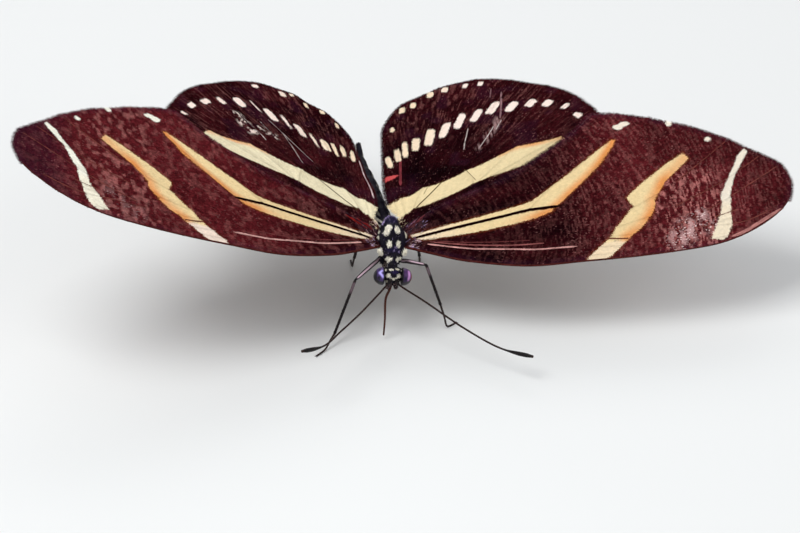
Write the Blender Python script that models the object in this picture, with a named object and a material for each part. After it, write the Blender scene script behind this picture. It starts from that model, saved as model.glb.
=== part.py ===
"""Zebra longwing butterfly, standing with its wings held open.

Lengths are in millimetres while the shapes are worked out and become metres when a mesh is made.
The insect faces -Y. Its left side is +X. The floor under its feet is z = 0.
A point of a wing is named by (s, q): s runs outward from the hinge to the apex, q runs forward
to the leading edge. A point of the body is named by (f, l, u): forward, left and up.
"""

import math

import bmesh
import bpy
from mathutils import Matrix, Vector
from mathutils.geometry import delaunay_2d_cdt

MM = 0.001

# Where the middle of the thorax is, and how the body is turned.
BODY_PLACE = Vector((-1.931, -3.626, 9.5))
BODY_PITCH = math.radians(15.0)
BODY_ROLL = math.radians(5.0)
HEAD_PITCH = math.radians(35.0)

# The gap that two neighbouring pieces keep.
GAP = 0.3

# Wings.
WING_THICK = 0.5
VEIN_HALF_WIDTH = 0.3
VEIN_RISE_TOP = 0.24
VEIN_RISE_UNDER = 0.1
VEIN_STEP = 1.9
EDGE_STEP = 1.9
FORE_LENGTH = 42.0
HIND_LENGTH = 25.0

# Sweep back, lift of the tip and fall of the leading edge in degrees; bend is the rise at the tip.
FORE_LEFT = {"side": 1, "sweep": 3.4, "lift": 9.3, "pitch": 25.4, "bend": -3.73,
             "hinge": (1.755, -0.69, 0.15), "length": FORE_LENGTH, "root": 0.15}
FORE_RIGHT = {"side": -1, "sweep": -10.65, "lift": 23.7, "pitch": 16.6, "bend": -0.16,
              "hinge": (-1.575, -0.63, 0.26), "length": FORE_LENGTH, "root": 0.21}
HIND_LEFT = {"side": 1, "sweep": -13.2, "lift": 12.3, "pitch": 7.25, "bend": 1.59,
             "hinge": (1.055, 1.12, 0.56), "length": HIND_LENGTH, "root": 0.7,
             "tuck_root": 0.47, "tuck_tip": 0.85, "tuck_slope": 0.46, "flap_in": 0.0}
HIND_RIGHT = {"side": -1, "sweep": -19.8, "lift": 24.5, "pitch": 7.75, "bend": -0.31,
              "hinge": (-1.3, 1.12, 0.57), "length": HIND_LENGTH, "root": 0.45,
              "tuck_root": 1.25, "tuck_tip": 0.0, "tuck_slope": 0.15, "flap_in": 0.4}

# The hind wing's front part dips under the fore wing, and its inner flap lies over the abdomen.
COVER_SLOPE = 0.8
COVER_OUT = 0.7
COVER_START = 3.0
COVER_SOFT = 2.0
TUCK_REACH = 20.0
FLAP_RISE = 0.3
FLAP_END = 12.0
FLAP_FADE = 7.0
FLAP_NARROW = 1.5

FORE_COSTA = [(2.4, 2.2), (6.0, 4.0), (12.0, 5.9), (18.0, 6.5), (24.0, 6.9), (30.0, 6.9),
              (33.5, 6.5), (36.7, 5.4), (39.5, 3.8), (41.2, 2.2)]
FORE_MARGIN = [(42.0, 0.2), (41.9, -1.3), (41.2, -2.9), (39.3, -4.4), (36.0, -6.9), (33.0, -8.7),
               (30.0, -10.0), (27.0, -11.2), (23.6, -12.1), (22.2, -12.1)]
FORE_INNER = [(20.3, -10.4), (16.0, -7.9), (12.0, -5.95), (7.5, -4.7), (3.0, -3.4)]
FORE_ROOT = (1.0, -1.2)

HIND_COSTA = [(3.0, 0.2), (8.0, -1.8), (13.0, -4.6), (18.0, -8.5), (20.6, -11.6)]
HIND_MARGIN = [(21.3, -14.0), (20.2, -16.8), (18.3, -19.4), (16.0, -22.0), (13.5, -23.8),
               (10.0, -25.6), (7.2, -26.8), (4.4, -27.2), (2.4, -27.0), (0.9, -26.5),
               (-1.6, -25.0), (-3.0, -24.0)]
HIND_INNER = [(-4.0, -22.0), (-4.5, -19.5), (-4.0, -16.0), (-3.35, -12.0), (-2.6, -8.3),
              (-1.55, -4.4), (-0.3, -2.6)]
HIND_ROOT = (0.8, -0.9)

FORE_VEINS = {
    "costa": [(1.2, 1.0), (2.8, 1.9), (6.1, 3.5), (12.0, 5.35), (18.0, 5.95), (24.0, 6.3),
              (30.0, 6.3), (33.3, 5.95)],
    "radius": [(0.8, 0.4), (4.0, 1.3), (7.5, 2.2), (10.5, 2.9), (13.5, 3.4), (17.0, 3.8),
               (21.5, 4.0), (26.0, 4.3), (31.0, 4.4), (36.0, 3.2), (41.2, 0.6)],
    "radius_1": [(14.0, 3.5), (19.0, 5.0), (26.5, 5.7)],
    "radius_4": [(31.0, 4.4), (35.5, 4.4), (39.0, 3.3)],
    "radius_5": [(27.0, 4.3), (33.0, 2.0), (40.8, -2.2)],
    "median_1": [(22.0, 3.0), (28.0, 1.6), (34.0, -0.8), (39.2, -3.8)],
    "median_2": [(22.3, 1.6), (28.0, -0.9), (36.0, -6.2)],
    "cell_end": [(21.5, 4.0), (22.3, 1.6), (20.5, -0.6)],
    "cubitus": [(0.8, -0.2), (4.5, -0.45), (7.9, -0.65), (10.8, -0.85), (13.4, -1.05),
                (17.0, -0.9), (20.5, -0.6), (24.5, -3.2), (28.5, -6.0), (32.3, -8.4)],
    "cubitus_1": [(17.0, -0.9), (20.0, -3.7), (24.0, -7.4), (28.4, -10.0)],
    "cubitus_2": [(13.4, -1.05), (16.3, -3.5), (21.2, -6.9), (24.6, -11.3)],
    "anal": [(1.2, -0.8), (7.5, -3.3), (12.0, -4.7), (16.0, -6.6), (21.2, -10.4)],
}

HIND_VEINS = {
    "shoulder": [(1.2, 0.1), (5.0, -0.9), (10.0, -3.6), (15.0, -7.0), (20.2, -13.2)],
    "radius": [(1.2, -0.3), (3.5, -3.4), (7.3, -7.0), (13.0, -11.5), (19.4, -16.4)],
    "median_1": [(7.3, -7.0), (11.5, -13.0), (17.0, -20.0)],
    "median_2": [(6.2, -9.4), (8.9, -15.0), (13.1, -23.2)],
    "cell_end": [(7.3, -7.0), (6.2, -9.4), (3.6, -11.0)],
    "cubitus": [(0.9, -0.9), (1.1, -5.0), (2.0, -9.0), (3.6, -11.0), (5.9, -16.5), (9.3, -25.1)],
    "cubitus_1": [(2.0, -9.0), (3.1, -17.0), (4.9, -26.5)],
    "cubitus_2": [(1.4, -6.8), (0.5, -15.0), (0.8, -25.8)],
    "anal_1": [(0.5, -1.6), (-1.2, -8.0), (-2.0, -15.0), (-2.6, -23.3)],
    "anal_2": [(-0.7, -3.4), (-2.3, -8.6), (-3.0, -13.0), (-3.6, -18.5)],
}

# Thorax sections from front to back: forward, half width, top, bottom.
THORAX_SECTIONS = [(2.85, 0.5, 0.1, -0.7), (2.6, 0.78, 0.42, -1.1), (2.2, 0.98, 0.85, -1.4),
                   (1.7, 1.16, 1.25, -1.6), (0.9, 1.32, 1.72, -1.85), (0.1, 1.4, 1.95, -2.0),
                   (-0.7, 1.38, 1.9, -2.0), (-1.3, 1.25, 1.62, -1.85), (-1.7, 1.15, 1.5, -1.65),
                   (-2.2, 0.95, 1.1, -1.3), (-2.5, 0.6, 0.65, -0.85)]
THORAX_SIDES = 24
SCUTUM_GROOVE = 0.09
TEGULA_BACK = (-0.35, 1.05, 1.32)
TEGULA_FRONT = (2.05, 1.05, 0.6)
TEGULA_HALF_WIDTH = 0.4
COLLAR_MIDDLE = (2.7, 0.55, 0.12)
COLLAR_HALF = (0.42, 0.58, 0.45)

# Abdomen: its middle line is measured from the middle of the thorax.
ABDOMEN_COURSE = [(0.0, 3.14, 0.12), (-0.15, 4.6, -0.5), (-0.6, 6.8, -0.88), (-1.2, 9.9, -0.98),
                  (-1.65, 13.6, -1.0), (-2.1, 17.6, -0.65), (-2.35, 21.2, 0.1)]
ABDOMEN_SEGMENTS = 8
ABDOMEN_LEVELS = 3
ABDOMEN_RADIUS = 1.22
ABDOMEN_NARROW = 0.94
ABDOMEN_SIDES = 18
SEGMENT_GROOVE = 0.1

# Head, with the middle of the head ahead of and below the middle of the thorax.
HEAD_FORWARD = 4.4
HEAD_DOWN = 0.85
HEAD_HALF_WIDTH = 0.72
HEAD_HALF_DEPTH = 0.98
HEAD_HALF_HEIGHT = 1.12
EYE_OUT = 2.05
EYE_HALF_DEPTH = 1.0
EYE_HALF_HEIGHT = 1.16
NECK_RADIUS = 0.42

# Feelers: the base is named on the head, the course from that base in the world's directions.
FEELER_RADIUS = 0.25
FEELER_CLUB = 0.38
FEELER_SKIP = 0.35
FEELER_BASE = (0.92, 0.42, 0.38)
FEELER_LEFT = [(0.0, 0.0, 0.0), (0.3, -0.62, -0.2), (3.02, -1.62, -1.78), (6.72, -4.32, -3.38),
               (10.42, -6.97, -4.43), (13.72, -9.37, -4.18)]
FEELER_RIGHT = [(0.0, 0.0, 0.0), (-0.3, -0.66, -0.1), (-3.12, -4.67, -0.83), (-5.62, -8.67, -0.83),
                (-7.52, -11.77, -0.63), (-9.92, -14.37, 0.37)]

# Palps and tongue: forward, left and up of the middle of the head.
PALP_COURSE = [(0.9, 0.54, -1.38), (1.33, 0.53, -1.0), (1.54, 0.49, -0.5), (1.5, 0.44, -0.04)]
PALP_RADIUS = 0.27
PALP_SWELL = 0.06
TONGUE_COURSE = [(0.3, 0.05, -1.62), (0.75, -0.1, -2.25), (1.4, -0.4, -3.3)]
TONGUE_RADIUS = 0.25
TONGUE_REACH = Vector((-0.3, -1.4, 0.0))
TONGUE_SAG = Vector((0.0, -0.5, 0.0))
TONGUE_CLEAR = 0.35

# Legs: hip, knee, ankle and foot, measured from the middle of the thorax.
FEMUR_RADIUS = 0.31
SHIN_RADIUS = 0.26
FOOT_RADIUS = 0.25
FOOT_SINK = 0.05
TOE_LENGTH = 0.8
LEGS = {
    "midleg_left": [(0.95, -0.3, -2.3), (3.5, -4.04, -0.85), (5.08, -3.53, -6.11), (6.95, -1.9, -9.5)],
    "midleg_right": [(-1.25, -0.22, -2.12), (-4.05, -4.25, -2.3), (-6.35, -5.6, -8.0), (-8.4, -7.9, -9.5)],
    "hindleg_left": [(0.75, 1.5, -1.95), (3.0, 4.9, -2.2), (3.6, 8.2, -6.8), (3.9, 12.0, -9.5)],
    "hindleg_right": [(-0.85, 1.5, -1.9), (-3.0, 4.9, -2.1), (-3.5, 8.2, -6.8), (-3.7, 12.0, -9.5)],
}

# Folded brush legs: forward, left and up of the middle of the thorax.
BRUSH_COURSE = [(1.75, 0.5, -1.97), (2.1, 0.55, -2.4), (1.5, 0.58, -2.64), (0.5, 0.55, -2.68)]
BRUSH_RADIUS = 0.27

MATERIALS = {
    "fore_wing": ((0.035, 0.016, 0.012, 1.0), 0.55),
    "hind_wing": ((0.018, 0.013, 0.012, 1.0), 0.6),
    "body": ((0.02, 0.016, 0.016, 1.0), 0.7),
    "eye": ((0.09, 0.07, 0.2, 1.0), 0.15),
    "horn": ((0.03, 0.012, 0.009, 1.0), 0.4),
}


def start_clean():
    """Remove what the scene holds."""
    for item in list(bpy.data.objects):
        bpy.data.objects.remove(item, do_unlink=True)


def material(name):
    """Return the plain material of that name."""
    found = bpy.data.materials.get(name)
    if found:
        return found
    colour, rough = MATERIALS[name]
    made = bpy.data.materials.new(name)
    made.use_nodes = True
    shader = made.node_tree.nodes["Principled BSDF"]
    shader.inputs["Base Color"].default_value = colour
    shader.inputs["Roughness"].default_value = rough
    shader.inputs["Metallic"].default_value = 0.0
    return made


def make_object(name, points, faces, look):
    """Make an object from points in millimetres, with its faces turned outward."""
    mesh = bpy.data.meshes.new(name)
    mesh.from_pydata([tuple(p * MM for p in point) for point in points], [], faces)
    shape = bmesh.new()
    shape.from_mesh(mesh)
    bmesh.ops.recalc_face_normals(shape, faces=shape.faces)
    if shape.calc_volume(signed=True) < 0.0:
        bmesh.ops.reverse_faces(shape, faces=shape.faces)
    shape.to_mesh(mesh)
    shape.free()
    mesh.materials.append(material(look))
    made = bpy.data.objects.new(name, mesh)
    bpy.context.scene.collection.objects.link(made)
    return made


def body_axes():
    """Forward, left and up of the thorax as unit vectors."""
    forward = Vector((0.0, -math.cos(BODY_PITCH), -math.sin(BODY_PITCH)))
    up = Vector((0.0, -math.sin(BODY_PITCH), math.cos(BODY_PITCH)))
    left = Vector((1.0, 0.0, 0.0))
    turned_up = up * math.cos(BODY_ROLL) + left * math.sin(BODY_ROLL)
    turned_left = left * math.cos(BODY_ROLL) - up * math.sin(BODY_ROLL)
    return forward, turned_left, turned_up


def from_body(forward, left, up):
    """World place of a point named in the thorax's own directions."""
    along, side, rise = body_axes()
    return BODY_PLACE + along * forward + side * left + rise * up


def head_axes():
    """Forward, left and up of the head."""
    side = body_axes()[1]
    forward = Vector((0.0, -math.cos(HEAD_PITCH), -math.sin(HEAD_PITCH)))
    forward = (forward - side * forward.dot(side)).normalized()
    return forward, side, forward.cross(side)


def from_head(forward, left, up):
    """World place of a point named in the head's own directions."""
    along, side, rise = head_axes()
    middle = from_body(HEAD_FORWARD, 0.0, -HEAD_DOWN)
    return middle + along * forward + side * left + rise * up


def smooth(value):
    """Ease from 0 to 1."""
    value = min(max(value, 0.0), 1.0)
    return value * value * (3.0 - 2.0 * value)


def through(points, step):
    """Points at about one step along a smooth curve through the given points."""
    count = len(points)
    size = len(points[0])
    made = []
    for index in range(count - 1):
        before = points[max(index - 1, 0)]
        start = points[index]
        end = points[index + 1]
        after = points[min(index + 2, count - 1)]
        length = math.dist(start, end)
        pieces = max(1, round(length / step))
        for piece in range(pieces):
            t = piece / pieces
            made.append(tuple(
                0.5 * (2.0 * start[k] + (end[k] - before[k]) * t
                       + (2.0 * before[k] - 5.0 * start[k] + 4.0 * end[k] - after[k]) * t * t
                       + (3.0 * start[k] - before[k] - 3.0 * end[k] + after[k]) * t ** 3)
                for k in range(size)))
    made.append(tuple(points[-1]))
    return made


def wing_middle(wing, s, q):
    """World place of a wing's middle surface at (s, q)."""
    side = wing["side"]
    t = min(max(s / wing["length"], 0.0), 1.2)
    rise = wing["bend"] * t * t
    x = s - (2.0 / 3.0) * wing["bend"] ** 2 * t ** 3 / wing["length"]
    if wing["length"] == HIND_LENGTH:
        under = (q + COVER_SLOPE * (s - COVER_OUT)) / math.hypot(1.0, COVER_SLOPE)
        share = max(s, 0.0) / TUCK_REACH
        tuck = wing["tuck_root"] + (wing["tuck_tip"] - wing["tuck_root"]) * share
        rise -= tuck * smooth((under + COVER_START) / COVER_START)
        rise -= wing["tuck_slope"] * 0.5 * (under + math.hypot(under, COVER_SOFT))
        rise += FLAP_RISE * max(-s, 0.0) * smooth((q + FLAP_END) / FLAP_FADE)
        x += wing["flap_in"] * smooth(-s / FLAP_NARROW)
    place = Vector((x, -q, rise))
    place = Matrix.Rotation(math.radians(wing["pitch"]), 3, "X") @ place
    place = Matrix.Rotation(math.radians(-wing["lift"]), 3, "Y") @ place
    place = Matrix.Rotation(math.radians(wing["sweep"]), 3, "Z") @ place
    place.x *= side
    return BODY_PLACE + Vector(wing["hinge"]) + place


def wing_normal(wing, s, q):
    """Upward unit normal of a wing's middle surface at (s, q)."""
    small = 0.05
    across = wing_middle(wing, s + small, q) - wing_middle(wing, s - small, q)
    ahead = wing_middle(wing, s, q + small) - wing_middle(wing, s, q - small)
    normal = across.cross(ahead).normalized()
    return normal if normal.z > 0.0 else -normal


def beside(line, offset):
    """The line moved sideways by the offset."""
    moved = []
    last = len(line) - 1
    for index, point in enumerate(line):
        before = line[max(index - 1, 0)]
        after = line[min(index + 1, last)]
        dx = after[0] - before[0]
        dy = after[1] - before[1]
        size = math.hypot(dx, dy)
        moved.append((point[0] - dy / size * offset, point[1] + dx / size * offset))
    return moved


def distance_to_line(point, line):
    """Shortest distance from a point to a line of straight pieces."""
    best = 1e9
    for start, end in zip(line[:-1], line[1:]):
        dx = end[0] - start[0]
        dy = end[1] - start[1]
        t = ((point[0] - start[0]) * dx + (point[1] - start[1]) * dy) / (dx * dx + dy * dy)
        t = min(max(t, 0.0), 1.0)
        gone = math.hypot(point[0] - start[0] - t * dx, point[1] - start[1] - t * dy)
        best = min(best, gone)
    return best


def inside(point, outline):
    """Whether a point lies inside a closed outline."""
    hit = False
    for a, b in zip(outline, outline[1:] + outline[:1]):
        if (a[1] > point[1]) != (b[1] > point[1]):
            if point[0] < (b[0] - a[0]) * (point[1] - a[1]) / (b[1] - a[1]) + a[0]:
                hit = not hit
    return hit


def wing_outline(wing):
    """The wing's outline in (s, q) as a closed list of points."""
    root = wing["root"]
    if wing["length"] == FORE_LENGTH:
        edge = through([(root, 0.95)] + FORE_COSTA + FORE_MARGIN + FORE_INNER, EDGE_STEP)
        return edge + [FORE_ROOT, (root, -0.95)]
    edge = through([(root, 0.75)] + HIND_COSTA + HIND_MARGIN + HIND_INNER, EDGE_STEP)
    return edge + [HIND_ROOT, (root, -0.6)]


def make_wing(name, wing, veins, look):
    """A wing: two alike faces of triangles, the veins raised in them, joined around the rim."""
    outline = wing_outline(wing)
    crests = [through(line, VEIN_STEP) for line in veins.values()]
    points = [Vector(p) for p in outline]
    lines = []
    for crest in crests:
        for offset in (0.0, VEIN_HALF_WIDTH, -VEIN_HALF_WIDTH):
            line = beside(crest, offset) if offset else crest
            line = [p for p in line if inside(p, outline)]
            start = len(points)
            points += [Vector(p) for p in line]
            lines += [(start + k, start + k + 1) for k in range(len(line) - 1)]
    ring = [list(range(len(outline)))]
    merge = 0.03
    flat, _, faces, _, _, _ = delaunay_2d_cdt(points, lines, ring, 1, merge)
    top = []
    under = []
    for place in flat:
        s = place.x
        q = place.y
        near = min(distance_to_line((s, q), crest) for crest in crests)
        share = max(0.0, 1.0 - near / VEIN_HALF_WIDTH)
        middle = wing_middle(wing, s, q)
        normal = wing_normal(wing, s, q)
        top.append(middle + normal * (WING_THICK / 2.0 + VEIN_RISE_TOP * share))
        under.append(middle - normal * (WING_THICK / 2.0 + VEIN_RISE_UNDER * share))
    shift = len(top)
    shell = [tuple(face) for face in faces]
    shell += [tuple(shift + k for k in reversed(face)) for face in faces]
    uses = {}
    for face in faces:
        for a, b in zip(face, list(face[1:]) + [face[0]]):
            uses[(a, b)] = uses.get((a, b), 0) + 1
    for a, b in list(uses):
        if (b, a) not in uses:
            shell.append((b, a, shift + a))
            shell.append((b, shift + a, shift + b))
    return make_object(name, top + under, shell, look)


def make_loft(name, rings, look, start_tip=None, end_tip=None):
    """A closed skin over rings with the same number of points, with a tip point at each end."""
    points = [p for ring in rings for p in ring]
    sides = len(rings[0])
    faces = []
    for level in range(len(rings) - 1):
        for k in range(sides):
            a = level * sides + k
            b = level * sides + (k + 1) % sides
            faces.append((a, b, b + sides, a + sides))
    first = sum(rings[0], Vector()) / sides if start_tip is None else start_tip
    last = sum(rings[-1], Vector()) / sides if end_tip is None else end_tip
    points += [first, last]
    base = (len(rings) - 1) * sides
    for k in range(sides):
        faces.append(((k + 1) % sides, k, len(points) - 2))
        faces.append((base + k, base + (k + 1) % sides, len(points) - 1))
    return make_object(name, points, faces, look)


def make_tube(name, path, radii, sides, look, flatten=1.0):
    """A round tube along a path of points, rounded at both ends."""
    path = [Vector(p) for p in path]
    rings = []
    side = None
    last = len(path) - 1
    for index, place in enumerate(path):
        along = (path[min(index + 1, last)] - path[max(index - 1, 0)]).normalized()
        if side is None:
            guess = Vector((0.0, 0.0, 1.0)) if abs(along.z) < 0.9 else Vector((1.0, 0.0, 0.0))
            side = along.cross(guess).normalized()
        side = (side - along * side.dot(along)).normalized()
        other = along.cross(side)
        radius = radii[index]
        rings.append([place + side * radius * math.cos(2.0 * math.pi * k / sides)
                      + other * radius * flatten * math.sin(2.0 * math.pi * k / sides)
                      for k in range(sides)])
    start_along = (path[0] - path[1]).normalized()
    end_along = (path[-1] - path[-2]).normalized()
    start_tip = path[0] + start_along * radii[0] * 0.35
    end_tip = path[-1] + end_along * radii[-1] * 0.35
    return make_loft(name, rings, look, start_tip, end_tip)


def make_ellipsoid(name, middle, halves, axes, look, sides=16, levels=9):
    """An ellipsoid with the given half sizes along three axes; its poles are on the first axis."""
    along, side, rise = axes
    rings = []
    for level in range(1, levels):
        angle = math.pi * level / levels
        centre = middle + along * halves[0] * math.cos(angle)
        rings.append([centre
                      + side * halves[1] * math.sin(angle) * math.cos(2.0 * math.pi * k / sides)
                      + rise * halves[2] * math.sin(angle) * math.sin(2.0 * math.pi * k / sides)
                      for k in range(sides)])
    return make_loft(name, rings, look, middle + along * halves[0], middle - along * halves[0])


def keep_largest(item):
    """Keep only the largest closed surface of an object."""
    shape = bmesh.new()
    shape.from_mesh(item.data)
    left = set(shape.faces)
    groups = []
    while left:
        start = left.pop()
        group = {start}
        front = [start]
        while front:
            face = front.pop()
            for edge in face.edges:
                for other in edge.link_faces:
                    if other in left:
                        left.discard(other)
                        group.add(other)
                        front.append(other)
        groups.append(group)
    groups.sort(key=len)
    for group in groups[:-1]:
        bmesh.ops.delete(shape, geom=list(group), context="FACES")
    bmesh.ops.triangulate(shape, faces=shape.faces)
    shape.to_mesh(item.data)
    shape.free()


def apply_boolean(item, operation, others):
    """Join the other objects to the item or cut them from it, and remove them."""
    group = bpy.data.collections.new("pieces")
    for other in others:
        group.objects.link(other)
    step = item.modifiers.new("join", "BOOLEAN")
    step.operation = operation
    step.operand_type = "COLLECTION"
    step.collection = group
    step.solver = "EXACT"
    graph = bpy.context.evaluated_depsgraph_get()
    result = bpy.data.meshes.new_from_object(item.evaluated_get(graph), depsgraph=graph)
    item.modifiers.clear()
    old = item.data
    item.data = result
    result.name = item.name
    bpy.data.meshes.remove(old)
    for other in others:
        bpy.data.objects.remove(other, do_unlink=True)
    bpy.data.collections.remove(group)
    keep_largest(item)
    return item


def cut_below(item, height):
    """Cut away what lies below a height, leaving a flat sole."""
    shape = bmesh.new()
    shape.from_mesh(item.data)
    bmesh.ops.triangulate(shape, faces=shape.faces)
    geometry = list(shape.verts) + list(shape.edges) + list(shape.faces)
    cut = bmesh.ops.bisect_plane(shape, geom=geometry, plane_co=(0.0, 0.0, height * MM),
                                 plane_no=(0.0, 0.0, 1.0), clear_inner=True, dist=1e-7)
    edges = [e for e in cut["geom_cut"] if isinstance(e, bmesh.types.BMEdge)]
    bmesh.ops.contextual_create(shape, geom=edges)
    bmesh.ops.triangulate(shape, faces=shape.faces)
    bmesh.ops.recalc_face_normals(shape, faces=shape.faces)
    shape.to_mesh(item.data)
    shape.free()


def make_thorax():
    """Thorax with a furrowed back, two collar plates and two shoulder plates."""
    along, side, rise = body_axes()
    rings = []
    for forward, half, top, bottom in THORAX_SECTIONS:
        ring = []
        for k in range(THORAX_SIDES):
            angle = 2.0 * math.pi * k / THORAX_SIDES
            left = half * math.cos(angle)
            high = math.sin(angle)
            up = high * (top if high > 0.0 else -bottom)
            furrow = max(0.0, high) ** 2 * math.exp(-(left / 0.28) ** 2)
            up -= SCUTUM_GROOVE * furrow
            ring.append(from_body(forward, left, up))
        rings.append(ring)
    thorax = make_loft("thorax", rings, "body")
    plates = []
    for turn in (1.0, -1.0):
        middle = from_body(COLLAR_MIDDLE[0], COLLAR_MIDDLE[1] * turn, COLLAR_MIDDLE[2])
        plates.append(make_ellipsoid("collar", middle, COLLAR_HALF, (along, side, rise), "body", 14, 8))
        back = from_body(TEGULA_BACK[0], TEGULA_BACK[1] * turn, TEGULA_BACK[2])
        front = from_body(TEGULA_FRONT[0], TEGULA_FRONT[1] * turn, TEGULA_FRONT[2])
        length = (front - back).normalized()
        across = (side - length * side.dot(length)).normalized()
        halves = ((front - back).length / 2.0, TEGULA_HALF_WIDTH, TEGULA_HALF_WIDTH)
        axes = (length, across, length.cross(across))
        plates.append(make_ellipsoid("tegula", (front + back) / 2.0, halves, axes, "body", 14, 10))
    return apply_boolean(thorax, "UNION", plates)


def make_abdomen():
    """Abdomen of eight rings that narrow to the tip, bent a little to the right."""
    fine = [Vector(p) for p in through(ABDOMEN_COURSE, 0.2)]
    gone = [0.0]
    for before, after in zip(fine[:-1], fine[1:]):
        gone.append(gone[-1] + (after - before).length)
    rings = []
    total = ABDOMEN_SEGMENTS * ABDOMEN_LEVELS
    for index in range(total + 1):
        t = index / total
        near = min(range(len(fine)), key=lambda k: abs(gone[k] - t * gone[-1]))
        along = (fine[min(near + 1, len(fine) - 1)] - fine[max(near - 1, 0)]).normalized()
        side = along.cross(Vector((0.0, 0.0, 1.0))).normalized()
        rise = side.cross(along)
        radius = ABDOMEN_RADIUS * (0.5 + 0.5 * smooth(t / 0.3)) * (1.0 - 0.68 * smooth((t - 0.5) / 0.5))
        if index % ABDOMEN_LEVELS == 0 and 0 < index < total:
            radius -= SEGMENT_GROOVE
        rings.append([BODY_PLACE + fine[near]
                      + side * radius * ABDOMEN_NARROW * math.cos(2.0 * math.pi * k / ABDOMEN_SIDES)
                      + rise * radius * math.sin(2.0 * math.pi * k / ABDOMEN_SIDES)
                      for k in range(ABDOMEN_SIDES)])
    return make_loft("abdomen", rings, "body")


def make_head():
    """Head capsule between the eyes, with the neck behind it."""
    sides = 20
    rings = []
    for level in range(-4, 5):
        left = HEAD_HALF_WIDTH * level / 4.0
        shrink = math.sqrt(1.0 - 0.32 * (left / HEAD_HALF_WIDTH) ** 2)
        rings.append([from_head(HEAD_HALF_DEPTH * shrink * math.cos(2.0 * math.pi * k / sides), left,
                                HEAD_HALF_HEIGHT * shrink * math.sin(2.0 * math.pi * k / sides))
                      for k in range(sides)])
    head = make_loft("head", rings, "body")
    neck_end = from_body(THORAX_SECTIONS[0][0] + GAP + NECK_RADIUS * 0.6, 0.0, -0.2)
    neck_start = from_head(-0.3, 0.0, 0.0)
    neck = make_tube("neck", [neck_start, neck_start.lerp(neck_end, 0.6), neck_end],
                     [NECK_RADIUS * 1.3, NECK_RADIUS * 1.1, NECK_RADIUS], 12, "body")
    return apply_boolean(head, "UNION", [neck])


def make_eye(name, turn):
    """A domed eye whose flat inner side stands a gap away from the head."""
    sides = 20
    levels = 6
    inner = HEAD_HALF_WIDTH + GAP
    depth = EYE_OUT - inner
    rings = []
    for level in range(levels):
        angle = 0.5 * math.pi * level / levels
        left = turn * (inner + depth * math.sin(angle))
        rings.append([from_head(EYE_HALF_DEPTH * math.cos(angle) * math.cos(2.0 * math.pi * k / sides),
                                left,
                                EYE_HALF_HEIGHT * math.cos(angle) * math.sin(2.0 * math.pi * k / sides))
                      for k in range(sides)])
    return make_loft(name, rings, "eye", end_tip=from_head(0.0, turn * EYE_OUT, 0.0))


def make_feeler(name, turn, course):
    """A feeler that ends in a slim club; its base stands a gap away from the head."""
    base = from_head(FEELER_BASE[0], FEELER_BASE[1] * turn, FEELER_BASE[2])
    path = [base + Vector(p) for p in through(course, 0.75)]
    path[0] += (path[1] - path[0]).normalized() * FEELER_SKIP
    length = sum((b - a).length for a, b in zip(path[:-1], path[1:]))
    gone = 0.0
    radii = []
    for index, place in enumerate(path):
        if index:
            gone += (place - path[index - 1]).length
        t = gone / length
        club = smooth((t - 0.8) / 0.12) * (1.0 - 0.55 * smooth((t - 0.95) / 0.05))
        radii.append(FEELER_RADIUS + (FEELER_CLUB - FEELER_RADIUS) * club)
    return make_tube(name, path, radii, 8, "horn")


def make_palp(name, turn):
    """A short scaled palp that curves up in front of the face."""
    path = [from_head(f, l * turn, u) for f, l, u in through(PALP_COURSE, 0.4)]
    last = len(path) - 1
    radii = [PALP_RADIUS + PALP_SWELL * (math.sin(math.pi * k / last) - k / last)
             for k in range(last + 1)]
    return make_tube(name, path, radii, 10, "body")


def make_tongue():
    """The tongue, let down from under the head to just above the floor."""
    course = [from_head(*place) for place in TONGUE_COURSE]
    knee = course[-1]
    tip = knee + TONGUE_REACH
    tip.z = TONGUE_CLEAR + TONGUE_RADIUS
    course += [knee.lerp(tip, 0.5) + TONGUE_SAG, tip]
    path = through([tuple(place) for place in course], 0.7)
    last = len(path) - 1
    radii = [TONGUE_RADIUS * (1.15 - 0.3 * k / last) for k in range(last + 1)]
    return make_tube("proboscis", path, radii, 8, "horn")


def make_leg(name, joints):
    """A walking leg of thigh, shin and foot, with a small flat sole on the floor."""
    hip, knee, ankle, foot = [BODY_PLACE + Vector(j) for j in joints]
    sole = FOOT_RADIUS - FOOT_SINK
    toe_way = Vector((foot.x - ankle.x, foot.y - ankle.y, 0.0)).normalized()
    toe = Vector((foot.x, foot.y, sole))
    heel = toe - toe_way * TOE_LENGTH
    heel.z = sole + 0.04
    course = [
        (hip, FEMUR_RADIUS * 0.9),
        (hip.lerp(knee, 0.3), FEMUR_RADIUS * 1.1),
        (hip.lerp(knee, 0.7), FEMUR_RADIUS),
        (hip.lerp(knee, 0.95), SHIN_RADIUS),
        (knee.lerp(ankle, 0.05), SHIN_RADIUS),
        (knee.lerp(ankle, 0.5), SHIN_RADIUS),
        (knee.lerp(ankle, 0.95), SHIN_RADIUS),
        (ankle.lerp(heel, 0.12), FOOT_RADIUS),
        (ankle.lerp(heel, 0.55), FOOT_RADIUS),
        (ankle.lerp(heel, 0.93), FOOT_RADIUS),
        (heel, FOOT_RADIUS),
        (toe, FOOT_RADIUS),
    ]
    leg = make_tube(name, [p for p, _ in course], [r for _, r in course], 10, "body")
    cut_below(leg, 0.0)
    return leg


def make_foreleg(name, turn):
    """A small folded brush leg held against the breast."""
    path = [from_body(f, l * turn, u) for f, l, u in through(BRUSH_COURSE, 0.5)]
    last = len(path) - 1
    radii = [BRUSH_RADIUS * (1.0 - 0.15 * k / last) for k in range(last + 1)]
    return make_tube(name, path, radii, 8, "body")


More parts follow.
